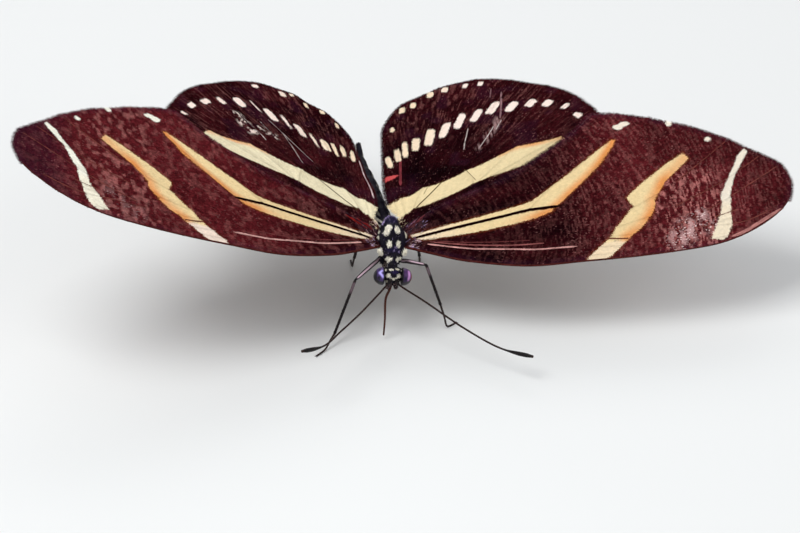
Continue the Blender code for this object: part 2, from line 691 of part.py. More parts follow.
def build():
    """Make every part of the butterfly."""
    start_clean()
    make_thorax()
    make_abdomen()
    make_head()
    make_eye("eye_left", 1.0)
    make_eye("eye_right", -1.0)
    make_feeler("antenna_left", 1.0, FEELER_LEFT)
    make_feeler("antenna_right", -1.0, FEELER_RIGHT)
    make_palp("palp_left", 1.0)
    make_palp("palp_right", -1.0)
    make_tongue()
    for name, joints in LEGS.items():
        make_leg(name, joints)
    make_foreleg("foreleg_left", 1.0)
    make_foreleg("foreleg_right", -1.0)
    make_wing("forewing_left", FORE_LEFT, FORE_VEINS, "fore_wing")
    make_wing("forewing_right", FORE_RIGHT, FORE_VEINS, "fore_wing")
    make_wing("hindwing_left", HIND_LEFT, HIND_VEINS, "hind_wing")
    make_wing("hindwing_right", HIND_RIGHT, HIND_VEINS, "hind_wing")
    for item in bpy.context.scene.objects:
        item.data.shade_smooth()
        item.data.set_sharp_from_angle(angle=math.radians(40.0))


build()
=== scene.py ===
"""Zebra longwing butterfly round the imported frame: scaled wings, haired body, camera, light, floor.

Lengths are in millimetres while shapes are worked out and become metres when a mesh is made.
The insect faces -Y, its left side is +X, and the floor under its feet is z = 0.
A wing's point is (s, q): outward from the hinge, and forward to the leading edge.
A body's point is (f, l, u): forward, left and up.
"""

import math

import bmesh
import bpy
import numpy as np
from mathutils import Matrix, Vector
from mathutils.geometry import delaunay_2d_cdt


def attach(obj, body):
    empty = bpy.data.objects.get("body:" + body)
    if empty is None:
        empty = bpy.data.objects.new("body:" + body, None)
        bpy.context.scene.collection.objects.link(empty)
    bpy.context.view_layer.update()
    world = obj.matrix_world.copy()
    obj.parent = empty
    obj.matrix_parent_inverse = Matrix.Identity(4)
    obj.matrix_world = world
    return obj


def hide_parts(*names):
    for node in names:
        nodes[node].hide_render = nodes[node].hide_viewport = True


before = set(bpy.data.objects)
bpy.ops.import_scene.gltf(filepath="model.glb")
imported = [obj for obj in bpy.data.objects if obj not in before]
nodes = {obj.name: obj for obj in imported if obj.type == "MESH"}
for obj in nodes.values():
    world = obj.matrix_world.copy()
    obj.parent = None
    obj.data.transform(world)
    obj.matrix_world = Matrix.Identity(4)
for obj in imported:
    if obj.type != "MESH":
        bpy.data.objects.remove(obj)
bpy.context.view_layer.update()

MM = 0.001

# Where the middle of the thorax is, and how the body and head are turned.
BODY_PLACE = np.array((-1.931, -3.626, 9.5))
BODY_PITCH = math.radians(15.0)
BODY_ROLL = math.radians(5.0)
HEAD_PITCH = math.radians(35.0)
HEAD_FORWARD = 4.4
HEAD_DOWN = 0.85
HEAD_HALF_WIDTH = 0.72

# Seeds of the random draws.
SCALE_SEED = 100
UNDER_SEED = 200
FRINGE_SEED = 300
BODY_HAIR_SEED = 400
PALP_SEED = 500
LEG_SEED = 600
BRUSH_SEED = 700
LINE_SEED = 800
ROOT_HAIR_SEED = 900

# Wings: half thickness of the membrane, lengths, and how each wing is turned, bent and hinged.
MEMBRANE_HALF = 0.05
FORE_LENGTH = 42.0
HIND_LENGTH = 25.0
FORE_LEFT = {"side": 1, "sweep": 3.4, "lift": 9.3, "pitch": 25.4, "bend": -3.73,
             "hinge": (1.755, -0.69, 0.15), "length": FORE_LENGTH}
FORE_RIGHT = {"side": -1, "sweep": -10.65, "lift": 23.7, "pitch": 16.6, "bend": -0.16,
              "hinge": (-1.575, -0.63, 0.26), "length": FORE_LENGTH}
HIND_LEFT = {"side": 1, "sweep": -13.2, "lift": 12.3, "pitch": 7.25, "bend": 1.59,
             "hinge": (1.055, 1.12, 0.56), "length": HIND_LENGTH,
             "tuck_root": 0.1, "tuck_tip": 0.45, "tuck_slope": 0.46, "flap_in": -0.25}
HIND_RIGHT = {"side": -1, "sweep": -19.8, "lift": 24.5, "pitch": 7.75, "bend": -0.31,
              "hinge": (-1.3, 1.12, 0.57), "length": HIND_LENGTH,
              "tuck_root": 0.85, "tuck_tip": -0.3, "tuck_slope": 0.15, "flap_in": 0.4}
# How a hind wing tucks under the fore wing, and how its inner flap rises.
COVER_SLOPE = 0.8
COVER_OUT = 0.7
COVER_START = 3.0
COVER_SOFT = 2.0
TUCK_REACH = 20.0
FLAP_RISE = 0.3
FLAP_END = 12.0
FLAP_FADE = 7.0
FLAP_NARROW = 1.5

# Outlines and veins.
FORE_COSTA = [(2.4, 2.2), (6.0, 4.0), (12.0, 5.9), (18.0, 6.5), (24.0, 6.9), (30.0, 6.9),
              (33.5, 6.5), (36.7, 5.4), (39.5, 3.8), (41.2, 2.2)]
FORE_MARGIN = [(42.0, 0.2), (41.9, -1.3), (41.2, -2.9), (39.3, -4.4), (36.0, -6.9), (33.0, -8.7),
               (30.0, -10.0), (27.0, -11.2), (23.6, -12.1), (22.2, -12.1)]
FORE_INNER = [(20.3, -10.4), (16.0, -7.9), (12.0, -5.95), (7.5, -4.7), (3.0, -3.4)]
FORE_ROOT = [(1.6, -2.7), (0.5, -2.3), (-0.4, -1.8), (-0.9, -1.1), (-0.9, -0.3), (-0.7, 0.6)]
HIND_COSTA = [(3.0, 0.2), (8.0, -1.8), (13.0, -4.6), (18.0, -8.5), (20.6, -11.6)]
HIND_MARGIN = [(21.3, -14.0), (20.2, -16.8), (18.3, -19.4), (16.0, -22.0), (13.5, -23.8),
               (10.0, -25.6), (7.2, -26.8), (4.4, -27.2), (2.4, -27.0), (0.9, -26.5),
               (-1.6, -25.0), (-3.0, -24.0)]
HIND_INNER = [(-4.0, -22.0), (-4.5, -19.5), (-4.0, -16.0), (-3.35, -12.0), (-2.6, -8.3),
              (-1.55, -4.4), (-0.3, -2.6)]
HIND_ROOT = [(-0.75, -1.8), (-0.9, -1.0), (-0.8, -0.3), (-0.6, 0.4)]

FORE_VEINS = {
    "costa": [(1.2, 1.0), (2.8, 1.9), (6.1, 3.5), (12.0, 5.35), (18.0, 5.95), (24.0, 6.3),
              (30.0, 6.3), (33.3, 5.95)],
    "radius": [(0.2, 0.2), (4.0, 1.3), (7.5, 2.2), (10.5, 2.9), (13.5, 3.4), (17.0, 3.8),
               (21.5, 4.0), (26.0, 4.3), (31.0, 4.4), (36.0, 3.2), (41.2, 0.6)],
    "radius_1": [(14.0, 3.5), (19.0, 5.0), (26.5, 5.7)],
    "radius_4": [(31.0, 4.4), (35.5, 4.4), (39.0, 3.3)],
    "radius_5": [(27.0, 4.3), (33.0, 2.0), (40.8, -2.2)],
    "median_1": [(22.0, 3.0), (28.0, 1.6), (34.0, -0.8), (39.2, -3.8)],
    "median_2": [(22.3, 1.6), (28.0, -0.9), (36.0, -6.2)],
    "cell_end": [(21.5, 4.0), (22.3, 1.6), (20.5, -0.6)],
    "cubitus": [(0.2, -0.1), (4.5, -0.45), (7.9, -0.65), (10.8, -0.85), (13.4, -1.05),
                (17.0, -0.9), (20.5, -0.6), (24.5, -3.2), (28.5, -6.0), (32.3, -8.4)],
    "cubitus_1": [(17.0, -0.9), (20.0, -3.7), (24.0, -7.4), (28.4, -10.0)],
    "cubitus_2": [(13.4, -1.05), (16.3, -3.5), (21.2, -6.9), (24.6, -11.3)],
    "anal": [(0.4, -0.4), (7.5, -3.3), (12.0, -4.7), (16.0, -6.6), (21.2, -10.4)],
}
HIND_VEINS = {
    "shoulder": [(0.2, 0.1), (5.0, -0.9), (10.0, -3.6), (15.0, -7.0), (20.2, -13.2)],
    "radius": [(0.4, -0.1), (3.5, -3.4), (7.3, -7.0), (13.0, -11.5), (19.4, -16.4)],
    "median_1": [(7.3, -7.0), (11.5, -13.0), (17.0, -20.0)],
    "median_2": [(6.2, -9.4), (8.9, -15.0), (13.1, -23.2)],
    "cell_end": [(7.3, -7.0), (6.2, -9.4), (3.6, -11.0)],
    "cubitus": [(0.9, -0.9), (1.1, -5.0), (2.0, -9.0), (3.6, -11.0), (5.9, -16.5), (9.3, -25.1)],
    "cubitus_1": [(2.0, -9.0), (3.1, -17.0), (4.9, -26.5)],
    "cubitus_2": [(1.4, -6.8), (0.5, -15.0), (0.8, -25.8)],
    "anal_1": [(0.5, -1.6), (-1.2, -8.0), (-2.0, -15.0), (-2.6, -23.3)],
    "anal_2": [(-0.7, -3.4), (-2.3, -8.6), (-3.0, -13.0), (-3.6, -18.5)],
}

# Pale bands, spots and lines of the wings.
FORE_STREAK = [(0.3, -0.6), (4.1, -1.0), (8.5, -1.4), (11.5, -1.75), (14.0, -2.2), (16.3, -3.5),
               (18.4, -4.8), (21.2, -6.7), (23.9, -8.5), (24.3, -8.4), (23.9, -7.6), (22.2, -5.6),
               (20.0, -3.7), (17.9, -2.1), (16.4, -0.95), (15.7, -0.4), (13.7, 0.05), (11.5, 0.3),
               (9.2, 0.4), (6.2, 0.45), (2.5, 0.3), (1.0, 0.1)]
FORE_BAND = [(31.2, -5.6), (29.1, -4.4), (25.9, -2.3), (24.0, -0.8), (24.5, 0.6), (23.6, 1.4),
             (22.0, 3.0), (21.3, 4.0), (20.4, 4.7), (19.0, 5.7), (18.2, 6.4), (20.0, 6.8),
             (21.0, 6.3), (22.7, 4.9), (23.2, 4.5), (24.7, 3.4), (26.2, 2.0), (26.8, 0.8),
             (26.9, 0.1), (28.6, -2.2), (30.2, -3.5), (31.7, -4.8)]
FORE_OUTER = [(37.9, -5.2), (37.0, -4.4), (36.0, -2.6), (34.9, -0.9), (34.1, 0.5), (33.8, 2.3),
              (33.0, 4.0), (32.1, 5.4), (31.8, 6.1), (33.0, 6.3), (33.6, 6.0), (34.4, 4.6),
              (34.7, 2.8), (35.1, 0.6), (35.8, -1.2), (36.9, -2.9), (38.2, -4.8)]
# Spots of the fore wing: place and half sizes.
FORE_SPOTS = [(25.0, -10.05, 0.55, 0.34), (25.7, -10.35, 0.55, 0.32), (30.5, -9.6, 0.35, 0.3),
              (34.3, -7.0, 0.32, 0.3), (40.8, -3.7, 0.3, 0.3)]
# Dark lines over the pale parts: points and half width.
FORE_DARK_LINES = [([(0.8, -0.2), (4.5, -0.45), (7.9, -0.65), (10.8, -0.85), (13.4, -1.05),
                     (16.6, -0.92)], 0.15),
                   ([(20.9, 4.15), (21.9, 4.35), (23.0, 4.5)], 0.06),
                   ([(32.9, 3.2), (35.2, 2.7)], 0.035)]
# Painted sheen, pale patches where the fore wing's scales catch the light: place and radius.
FORE_SHEEN_PATCHES = [(29.9, 4.3, 1.9), (28.5, 5.6, 1.7), (31.3, 2.8, 1.2), (32.4, 4.6, 1.3)]
# The outer edges of the streak and the middle band, where they turn orange.
STREAK_EDGE = FORE_STREAK[9:19]
BAND_EDGE = FORE_BAND[:13:-1]
HIND_BAND = [(-1.6, -4.1), (-0.3, -5.9), (1.7, -7.4), (3.8, -8.3), (6.7, -9.9), (9.6, -11.9),
             (11.7, -12.9), (13.9, -13.3), (16.2, -13.8), (16.9, -13.3), (16.0, -11.9),
             (14.2, -10.9), (11.8, -9.7), (9.4, -8.5), (7.1, -7.3), (5.0, -5.9), (3.0, -4.8),
             (0.9, -3.7), (-0.2, -2.4), (-0.8, -1.2)]
HIND_BAND_REAR = HIND_BAND[5:9]
# Spots of the hind wing: place, and half size along and across the line from the root.
HIND_SPOTS_LEFT = [(-2.85, -12.8, 1.1, 0.32), (-2.05, -13.95, 1.25, 0.34), (-1.4, -15.1, 1.4, 0.28),
                   (-0.45, -15.85, 1.2, 0.38), (0.93, -16.85, 1.5, 0.48), (2.47, -17.95, 1.4, 0.5),
                   (4.03, -19.3, 1.35, 0.42), (5.8, -20.1, 1.15, 0.47), (7.55, -20.95, 1.15, 0.53),
                   (9.73, -20.85, 0.9, 0.53), (11.95, -20.8, 0.68, 0.5), (13.9, -20.4, 0.56, 0.52),
                   (16.1, -19.1, 0.5, 0.38), (17.7, -17.25, 0.36, 0.55)]
HIND_SPOTS_RIGHT = [(18.1, -16.8, 0.35, 0.34), (16.5, -18.7, 0.38, 0.46), (14.1, -20.4, 0.4, 0.68),
                    (11.9, -21.1, 0.58, 0.4), (9.3, -21.8, 0.85, 0.52), (7.35, -21.55, 1.0, 0.17),
                    (5.75, -20.5, 1.15, 0.52), (4.15, -19.55, 1.1, 0.16), (2.87, -18.2, 1.2, 0.5),
                    (1.55, -16.95, 1.2, 0.17), (0.4, -16.1, 1.1, 0.5), (-1.0, -15.8, 1.25, 0.34),
                    (-2.1, -15.6, 1.1, 0.3), (-3.1, -15.0, 1.15, 0.24)]
HIND_DOTS_LEFT = [(-2.8, -22.7, 0.55, 0.34), (-1.7, -23.6, 0.55, 0.32), (-0.15, -25.3, 0.5, 0.34),
                  (1.4, -25.95, 0.5, 0.34), (3.7, -26.3, 0.4, 0.3), (5.5, -26.2, 0.36, 0.28),
                  (-3.45, -19.2, 0.5, 0.24)]
HIND_DOTS_RIGHT = [(5.7, -26.2, 0.3, 0.4), (2.2, -25.9, 0.5, 0.4), (1.0, -26.0, 0.3, 0.25),
                   (-0.5, -24.5, 0.5, 0.36), (-2.5, -23.6, 0.5, 0.3), (-3.6, -21.4, 0.5, 0.22)]
# A painted glint: a pale streak of light across the left hind wing.
HIND_GLINT_RAY = [(8.6, -19.1), (7.9, -16.4), (7.1, -13.9)]
HIND_WEDGE = [(-2.75, -9.6), (-2.5, -8.6), (-2.0, -9.3), (-1.35, -9.95), (-2.0, -10.15)]
HIND_SPECKLE = [(10.3, -17.2, 1.0), (10.7, -18.8, 0.9), (9.9, -15.8, 0.8), (8.5, -16.9, 0.8),
                (7.3, -15.8, 0.8)]


def linear(red, green, blue):
    """A colour named by its screen values from 0 to 255, as linear values."""
    values = np.array((red, green, blue), float) / 255.0
    return np.where(values <= 0.04045, values / 12.92, ((values + 0.055) / 1.055) ** 2.4)


BLACK_BROWN = linear(11, 2, 5)
MAROON = linear(84, 26, 30)
RUST = linear(158, 98, 94)
ROSE = linear(176, 120, 116)
# Violet sheen of the dark scales, painted into their colour.
VIOLET_SHEEN = linear(54, 24, 44)
CREAM = linear(232, 208, 158)
PEACH = linear(226, 150, 84)
HIND_CREAM_LEFT = linear(230, 211, 166)
HIND_CREAM_RIGHT = linear(230, 219, 186)
PINK_WHITE = linear(244, 226, 214)
OUTER_WHITE_LEFT = linear(236, 226, 208)
OUTER_WHITE_RIGHT = linear(241, 239, 224)
# Colours of the painted sheen on the fore wings.
SHEEN_ROSE = linear(196, 156, 154)
SHEEN_BRIGHT = linear(226, 200, 196)
# Colour of the painted glint across the left hind wing.
RAY_GLINT = linear(186, 150, 148)
WEDGE_RED = linear(204, 84, 84)
BASE_RED = linear(170, 30, 28)
FORE_FRINGE = linear(112, 52, 26)
HIND_FRINGE = linear(92, 52, 30)
DULL_RED = linear(132, 34, 30)
BODY_BLACK = linear(11, 5, 11)
BODY_BLUE = linear(22, 15, 44)
BODY_WHITE = linear(232, 226, 208)
LILAC = linear(172, 152, 200)


def smooth(value):
    """Ease from 0 to 1."""
    value = np.clip(value, 0.0, 1.0)
    return value * value * (3.0 - 2.0 * value)


def through(points, step):
    """Points at about one step along a smooth curve through the given points."""
    points = np.array(points, float)
    last = len(points) - 1
    made = []
    for index in range(last):
        before = points[max(index - 1, 0)]
        start = points[index]
        end = points[index + 1]
        after = points[min(index + 2, last)]
        pieces = max(1, round(float(np.linalg.norm(end - start)) / step))
        for piece in range(pieces):
            t = piece / pieces
            made.append(0.5 * (2.0 * start + (end - before) * t
                               + (2.0 * before - 5.0 * start + 4.0 * end - after) * t * t
                               + (3.0 * start - before - 3.0 * end + after) * t ** 3))
    made.append(points[-1])
    return np.array(made)


def path_lengths(path):
    """Length gone at each point of a path."""
    return np.concatenate([[0.0], np.cumsum(np.linalg.norm(np.diff(path, axis=0), axis=1))])


def even_path(path, step):
    """The path with its points an even step apart, and the length gone at each."""
    gone = path_lengths(path)
    count = max(2, int(gone[-1] / step) + 1)
    at = np.linspace(0.0, gone[-1], count)
    return np.stack([np.interp(at, gone, path[:, k]) for k in range(3)], axis=-1), at


def unit(vector):
    """The vector with length one."""
    vector = np.asarray(vector, float)
    return vector / np.linalg.norm(vector)


def unit_rows(vectors):
    """Many vectors, each with length one."""
    return vectors / np.linalg.norm(vectors, axis=-1, keepdims=True)


def path_way(path):
    """Unit direction of a path at each of its points."""
    return unit_rows(np.gradient(path, axis=0))


def round_angles(sides):
    """Even angles round a full turn."""
    return np.arange(sides) * 2.0 * math.pi / sides


def lattice_noise(x, y, seed):
    """Smooth noise from 0 to 1 with one cell per unit."""
    column = np.floor(x).astype(np.int64)
    row = np.floor(y).astype(np.int64)

    def corner(i, j):
        value = np.sin((i * 127.1 + j * 311.7 + seed * 74.7)) * 43758.5453
        return value - np.floor(value)

    across = smooth(x - column)
    along = smooth(y - row)
    low = corner(column, row) * (1.0 - across) + corner(column + 1, row) * across
    high = corner(column, row + 1) * (1.0 - across) + corner(column + 1, row + 1) * across
    return low * (1.0 - along) + high * along


def mix(first, second, share):
    """Blend two colours or sets of colours by a share for each row."""
    share = np.clip(np.asarray(share, float), 0.0, 1.0)[..., None]
    return first * (1.0 - share) + second * share


def line_distance(s, q, line):
    """Distance of many points to a line of straight pieces."""
    line = np.asarray(line, float)
    best = np.full(len(s), 1e9)
    for start, end in zip(line[:-1], line[1:]):
        way = end - start
        t = ((s - start[0]) * way[0] + (q - start[1]) * way[1]) / max(float(way @ way), 1e-9)
        t = np.clip(t, 0.0, 1.0)
        gone = np.hypot(s - start[0] - t * way[0], q - start[1] - t * way[1])
        np.minimum(best, gone, out=best)
    return best


def inside(s, q, outline):
    """Whether many points lie inside a closed outline."""
    outline = np.asarray(outline, float)
    hit = np.zeros(len(s), bool)
    for a, b in zip(outline, np.roll(outline, -1, axis=0)):
        if a[1] == b[1]:
            continue
        crosses = (a[1] > q) != (b[1] > q)
        hit ^= crosses & (s < (b[0] - a[0]) * (q - a[1]) / (b[1] - a[1]) + a[0])
    return hit


def rim_distance(s, q, outline):
    """Distance of many points to a closed outline."""
    return line_distance(s, q, np.vstack([outline, outline[:1]]))


def shape_depth(s, q, outline):
    """How deep many points lie inside a closed outline; outside it is below zero."""
    gone = rim_distance(s, q, outline)
    return np.where(inside(s, q, outline), gone, -gone)


def wing_middle(wing, s, q):
    """World places of a wing's middle surface at many (s, q)."""
    length = wing["length"]
    t = np.clip(s / length, 0.0, 1.2)
    rise = wing["bend"] * t * t
    x = s - (2.0 / 3.0) * wing["bend"] ** 2 * t ** 3 / length
    if length == HIND_LENGTH:
        under = (q + COVER_SLOPE * (s - COVER_OUT)) / math.hypot(1.0, COVER_SLOPE)
        share = np.maximum(s, 0.0) / TUCK_REACH
        tuck = wing["tuck_root"] + (wing["tuck_tip"] - wing["tuck_root"]) * share
        rise = rise - tuck * smooth((under + COVER_START) / COVER_START)
        rise -= wing["tuck_slope"] * 0.5 * (under + np.hypot(under, COVER_SOFT))
        rise += FLAP_RISE * np.maximum(-s, 0.0) * smooth((q + FLAP_END) / FLAP_FADE)
        x = x + wing["flap_in"] * smooth(-s / FLAP_NARROW)
    pitch = math.radians(wing["pitch"])
    lift = math.radians(wing["lift"])
    sweep = math.radians(wing["sweep"])
    y = -q * math.cos(pitch) - rise * math.sin(pitch)
    z = -q * math.sin(pitch) + rise * math.cos(pitch)
    x, z = x * math.cos(lift) - z * math.sin(lift), x * math.sin(lift) + z * math.cos(lift)
    x, y = x * math.cos(sweep) - y * math.sin(sweep), x * math.sin(sweep) + y * math.cos(sweep)
    place = np.stack([x * wing["side"], y, z], axis=-1)
    return place + BODY_PLACE + np.array(wing["hinge"])


def wing_frame(wing, s, q):
    """Middle places, outward, forward and upward unit directions of a wing at many (s, q)."""
    small = 0.05
    outward = unit_rows(wing_middle(wing, s + small, q) - wing_middle(wing, s - small, q))
    ahead = unit_rows(wing_middle(wing, s, q + small) - wing_middle(wing, s, q - small))
    normal = unit_rows(np.cross(outward, ahead))
    normal *= np.where(normal[..., 2:] > 0.0, 1.0, -1.0)
    return wing_middle(wing, s, q), outward, ahead, normal


# The grid on which each wing's distance to its veins is worked out once.
GRID_STEP = 0.1
GRID_LOW = np.array((-6.0, -29.0))
GRID_COUNT = np.array((500, 380))


# The membrane's relief over its middle surface.
VEIN_HEIGHT = 0.09
VEIN_HALF_WIDTH = 0.13
SAG_DEPTH = 0.11
SAG_REACH = 1.6
RIPPLE = 0.05
PLEAT = 0.02


class WingKind:
    """What the two wings of one pair share: outline, veins, relief and flat chart."""

    def __init__(self, outline, veins):
        self.outline = outline
        self.crests = [through(line, 0.5) for line in veins.values()]
        s, q = np.meshgrid(GRID_LOW[0] + GRID_STEP * np.arange(GRID_COUNT[0]),
                           GRID_LOW[1] + GRID_STEP * np.arange(GRID_COUNT[1]), indexing="ij")
        flat_s = s.ravel()
        flat_q = q.ravel()
        best = np.full(len(flat_s), 1e9)
        for line in veins.values():
            np.minimum(best, line_distance(flat_s, flat_q, through(line, 1.5)), out=best)
        self.near = best.reshape(GRID_COUNT)
        self.size = np.array(outline).max(axis=0) - np.array(outline).min(axis=0)
        self.low = np.array(outline).min(axis=0)

    def vein_distance(self, s, q):
        """Distance to the nearest vein, read from the grid."""
        a = np.clip((s - GRID_LOW[0]) / GRID_STEP, 0.0, GRID_COUNT[0] - 1.001)
        b = np.clip((q - GRID_LOW[1]) / GRID_STEP, 0.0, GRID_COUNT[1] - 1.001)
        i = a.astype(int)
        j = b.astype(int)
        a = a - i
        b = b - j
        near = self.near
        return (near[i, j] * (1 - a) * (1 - b) + near[i + 1, j] * a * (1 - b)
                + near[i, j + 1] * (1 - a) * b + near[i + 1, j + 1] * a * b)

    def relief(self, s, q):
        """Height of the membrane over its middle surface: veins stand up, panels sag and ripple."""
        gone = self.vein_distance(s, q)
        crest = VEIN_HEIGHT * np.exp(-(gone / VEIN_HALF_WIDTH) ** 2)
        sag = -SAG_DEPTH * smooth(gone / SAG_REACH)
        ripple = RIPPLE * (lattice_noise(s * 0.45, q * 0.45, 3) - 0.5) * smooth(gone / 0.8)
        pleat = PLEAT * np.sin(gone * 5.2) * smooth(gone / 0.5) * np.exp(-gone / 2.0)
        return crest + sag + ripple + pleat

    def half_thickness(self, s, q):
        """Half the thickness of the membrane, thinnest away from the veins."""
        return MEMBRANE_HALF * (1.0 - 0.5 * smooth(self.vein_distance(s, q) / 0.5))

    def chart(self, s, q):
        """Place on the flat unwrap of the wing, from 0 to 1."""
        return (np.stack([s, q], axis=-1) - self.low) / self.size.max() * 0.96 + 0.02


fore_outline = np.vstack([through([(0.15, 0.95)] + FORE_COSTA + FORE_MARGIN + FORE_INNER, 0.35),
                          FORE_ROOT])
hind_outline = np.vstack([through([(0.5, 0.75)] + HIND_COSTA + HIND_MARGIN + HIND_INNER, 0.35),
                          HIND_ROOT])
FORE = WingKind(fore_outline, FORE_VEINS)
HIND = WingKind(hind_outline, HIND_VEINS)


def fore_tint(s, q, side, grain):
    """Colour of the fore wing at many (s, q); grain is one random number for each point."""
    wobble = (lattice_noise(s * 2.2, q * 2.2, 5) - 0.5) * 0.1 + (grain - 0.5) * 0.05
    fine = lattice_noise(s * 5.0, q * 5.0, 8)
    cloud = lattice_noise(s * 0.35, q * 0.5, 9)
    between = smooth((s - 25.5) / 2.0) * smooth((35.0 - s) / 2.0)
    if side > 0:
        ruddy = 0.1 + 0.74 * smooth((s - 14.5) / 13.0)
        between = between * smooth((q + 4.5) / 2.5)
        streaky = lattice_noise(np.hypot(s, q) * 6.4, q * 1.7, 12)
        strength = (0.16 + 0.64 * between) * smooth((s - 14.0) / 8.0) + 0.08
    else:
        ruddy = 0.2 + 0.7 * smooth((s - 2.0) / 16.0)
        streaky = lattice_noise(s * 2.4 + q * 0.3, q * 1.7, 12)
        strength = 0.2 + 0.36 * between
    ground = mix(BLACK_BROWN, MAROON, ruddy + 0.25 * (cloud - 0.35))
    ground = mix(ground, RUST, smooth((streaky - 0.45) / 0.3) * strength)
    ground = ground * ((0.55 + 0.9 * fine) * (1.0 - 0.3 * smooth((s - 35.5) / 4.0)))[:, None]
    if side > 0:
        ground = ground * (1.0 - 0.3 * smooth((-2.5 - q) / 2.5) * smooth((s - 26.0) / 3.0))[:, None]
    else:
        # Painted violet sheen toward the right wing's tip.
        ground = mix(ground, VIOLET_SHEEN * 0.8, 0.4 * smooth((s - 34.0) / 4.5))
    speck = (grain > 0.95) * smooth((lattice_noise(s * 0.8, q * 0.8, 21) - 0.25) / 0.5)
    ground = mix(ground, ROSE, speck * 0.2)
    edge = shape_depth(s, q, fore_outline)
    # Painted violet sheen along the margin.
    ground = mix(ground, VIOLET_SHEEN, 0.5 * smooth((0.9 - edge) / 0.9) * lattice_noise(s, q, 31))
    # Painted sheen: pale flecked patches where the scales catch the light, strong on the left wing.
    painted_sheen = np.zeros(len(s))
    for place_s, place_q, radius in FORE_SHEEN_PATCHES:
        gone = np.hypot(s - place_s, q - place_q) / radius
        painted_sheen = np.maximum(painted_sheen, smooth(1.15 - gone))
    strength = 0.9 if side > 0 else 0.18
    flecks = smooth((lattice_noise(s * 2.6, q * 1.3, 44) + (grain - 0.5) * 0.4 - 0.36) / 0.35)
    ground = mix(ground, SHEEN_ROSE, painted_sheen * flecks * strength)
    ground = mix(ground, SHEEN_BRIGHT, (grain > 0.93) * painted_sheen * strength)

    streak = shape_depth(s, q, FORE_STREAK)
    band = shape_depth(s, q, FORE_BAND)
    outer = shape_depth(s, q, FORE_OUTER)
    spots = np.full(len(s), -9.0)
    for place_s, place_q, long, wide in FORE_SPOTS:
        gone = np.hypot((s - place_s) / long, (q - place_q) / wide)
        spots = np.maximum(spots, (1.0 - gone) * wide)
    inner = np.maximum(streak, band)
    white = np.maximum(outer, spots)
    pale = np.maximum(inner, white)
    for points, half in FORE_DARK_LINES:
        pale = np.minimum(pale, line_distance(s, q, points) - half)
    veins = FORE.vein_distance(s, q)
    shade = 0.94 + 0.08 * fine - 0.14 * np.exp(-(veins / 0.1) ** 2)
    drift = lattice_noise(s * 0.5, q * 0.5, 51)
    on_streak = smooth((1.15 - line_distance(s, q, STREAK_EDGE)) / 1.0) * smooth((s - 9.0) / 7.0)
    on_band = smooth((1.5 - line_distance(s, q, BAND_EDGE)) / 1.3) * smooth((5.2 - q) / 0.6)
    warmth = np.where(streak > band, on_streak * (0.6 + 0.6 * drift),
                      on_band * (0.35 + 0.75 * drift))
    if side > 0:
        tip_share, outer_white, outer_share = 0.35, OUTER_WHITE_LEFT, 0.7
    else:
        tip_share, outer_white, outer_share = 0.85, OUTER_WHITE_RIGHT, 0.8
    cream = mix(CREAM, PINK_WHITE, np.where(streak > band, 0.5 * smooth((9.0 - s) / 9.0),
                                            tip_share * smooth((q - 4.4) / 0.5)))
    cream = mix(cream, PEACH, warmth)
    outer_cream = mix(CREAM * 1.05, outer_white, outer_share + 0.65 * smooth((2.5 - q) / 3.0))
    colour = np.where((white > inner)[:, None], outer_cream, cream) * shade[:, None]
    fringe = smooth((pale + 0.34 + wobble) / 0.3) * (white < -0.5)
    ground = mix(ground, FORE_FRINGE, 0.5 * fringe)
    return mix(ground, colour, smooth((pale + wobble * 0.6) / 0.1 + 0.5))


def spot_depth(s, q, places):
    """How deep many points lie inside rounded spots that point away from the wing's root."""
    deepest = np.full(len(s), -9.0)
    for place_s, place_q, long, wide in places:
        away = math.hypot(place_s - 1.0, place_q + 1.0)
        along = ((s - place_s) * (place_s - 1.0) + (q - place_q) * (place_q + 1.0)) / away
        across = ((s - place_s) * (place_q + 1.0) - (q - place_q) * (place_s - 1.0)) / away
        gone = ((along / long) ** 4 + (across / wide) ** 4 + 1e-9) ** 0.25
        deepest = np.maximum(deepest, (1.0 - gone) * min(long, wide))
    return deepest


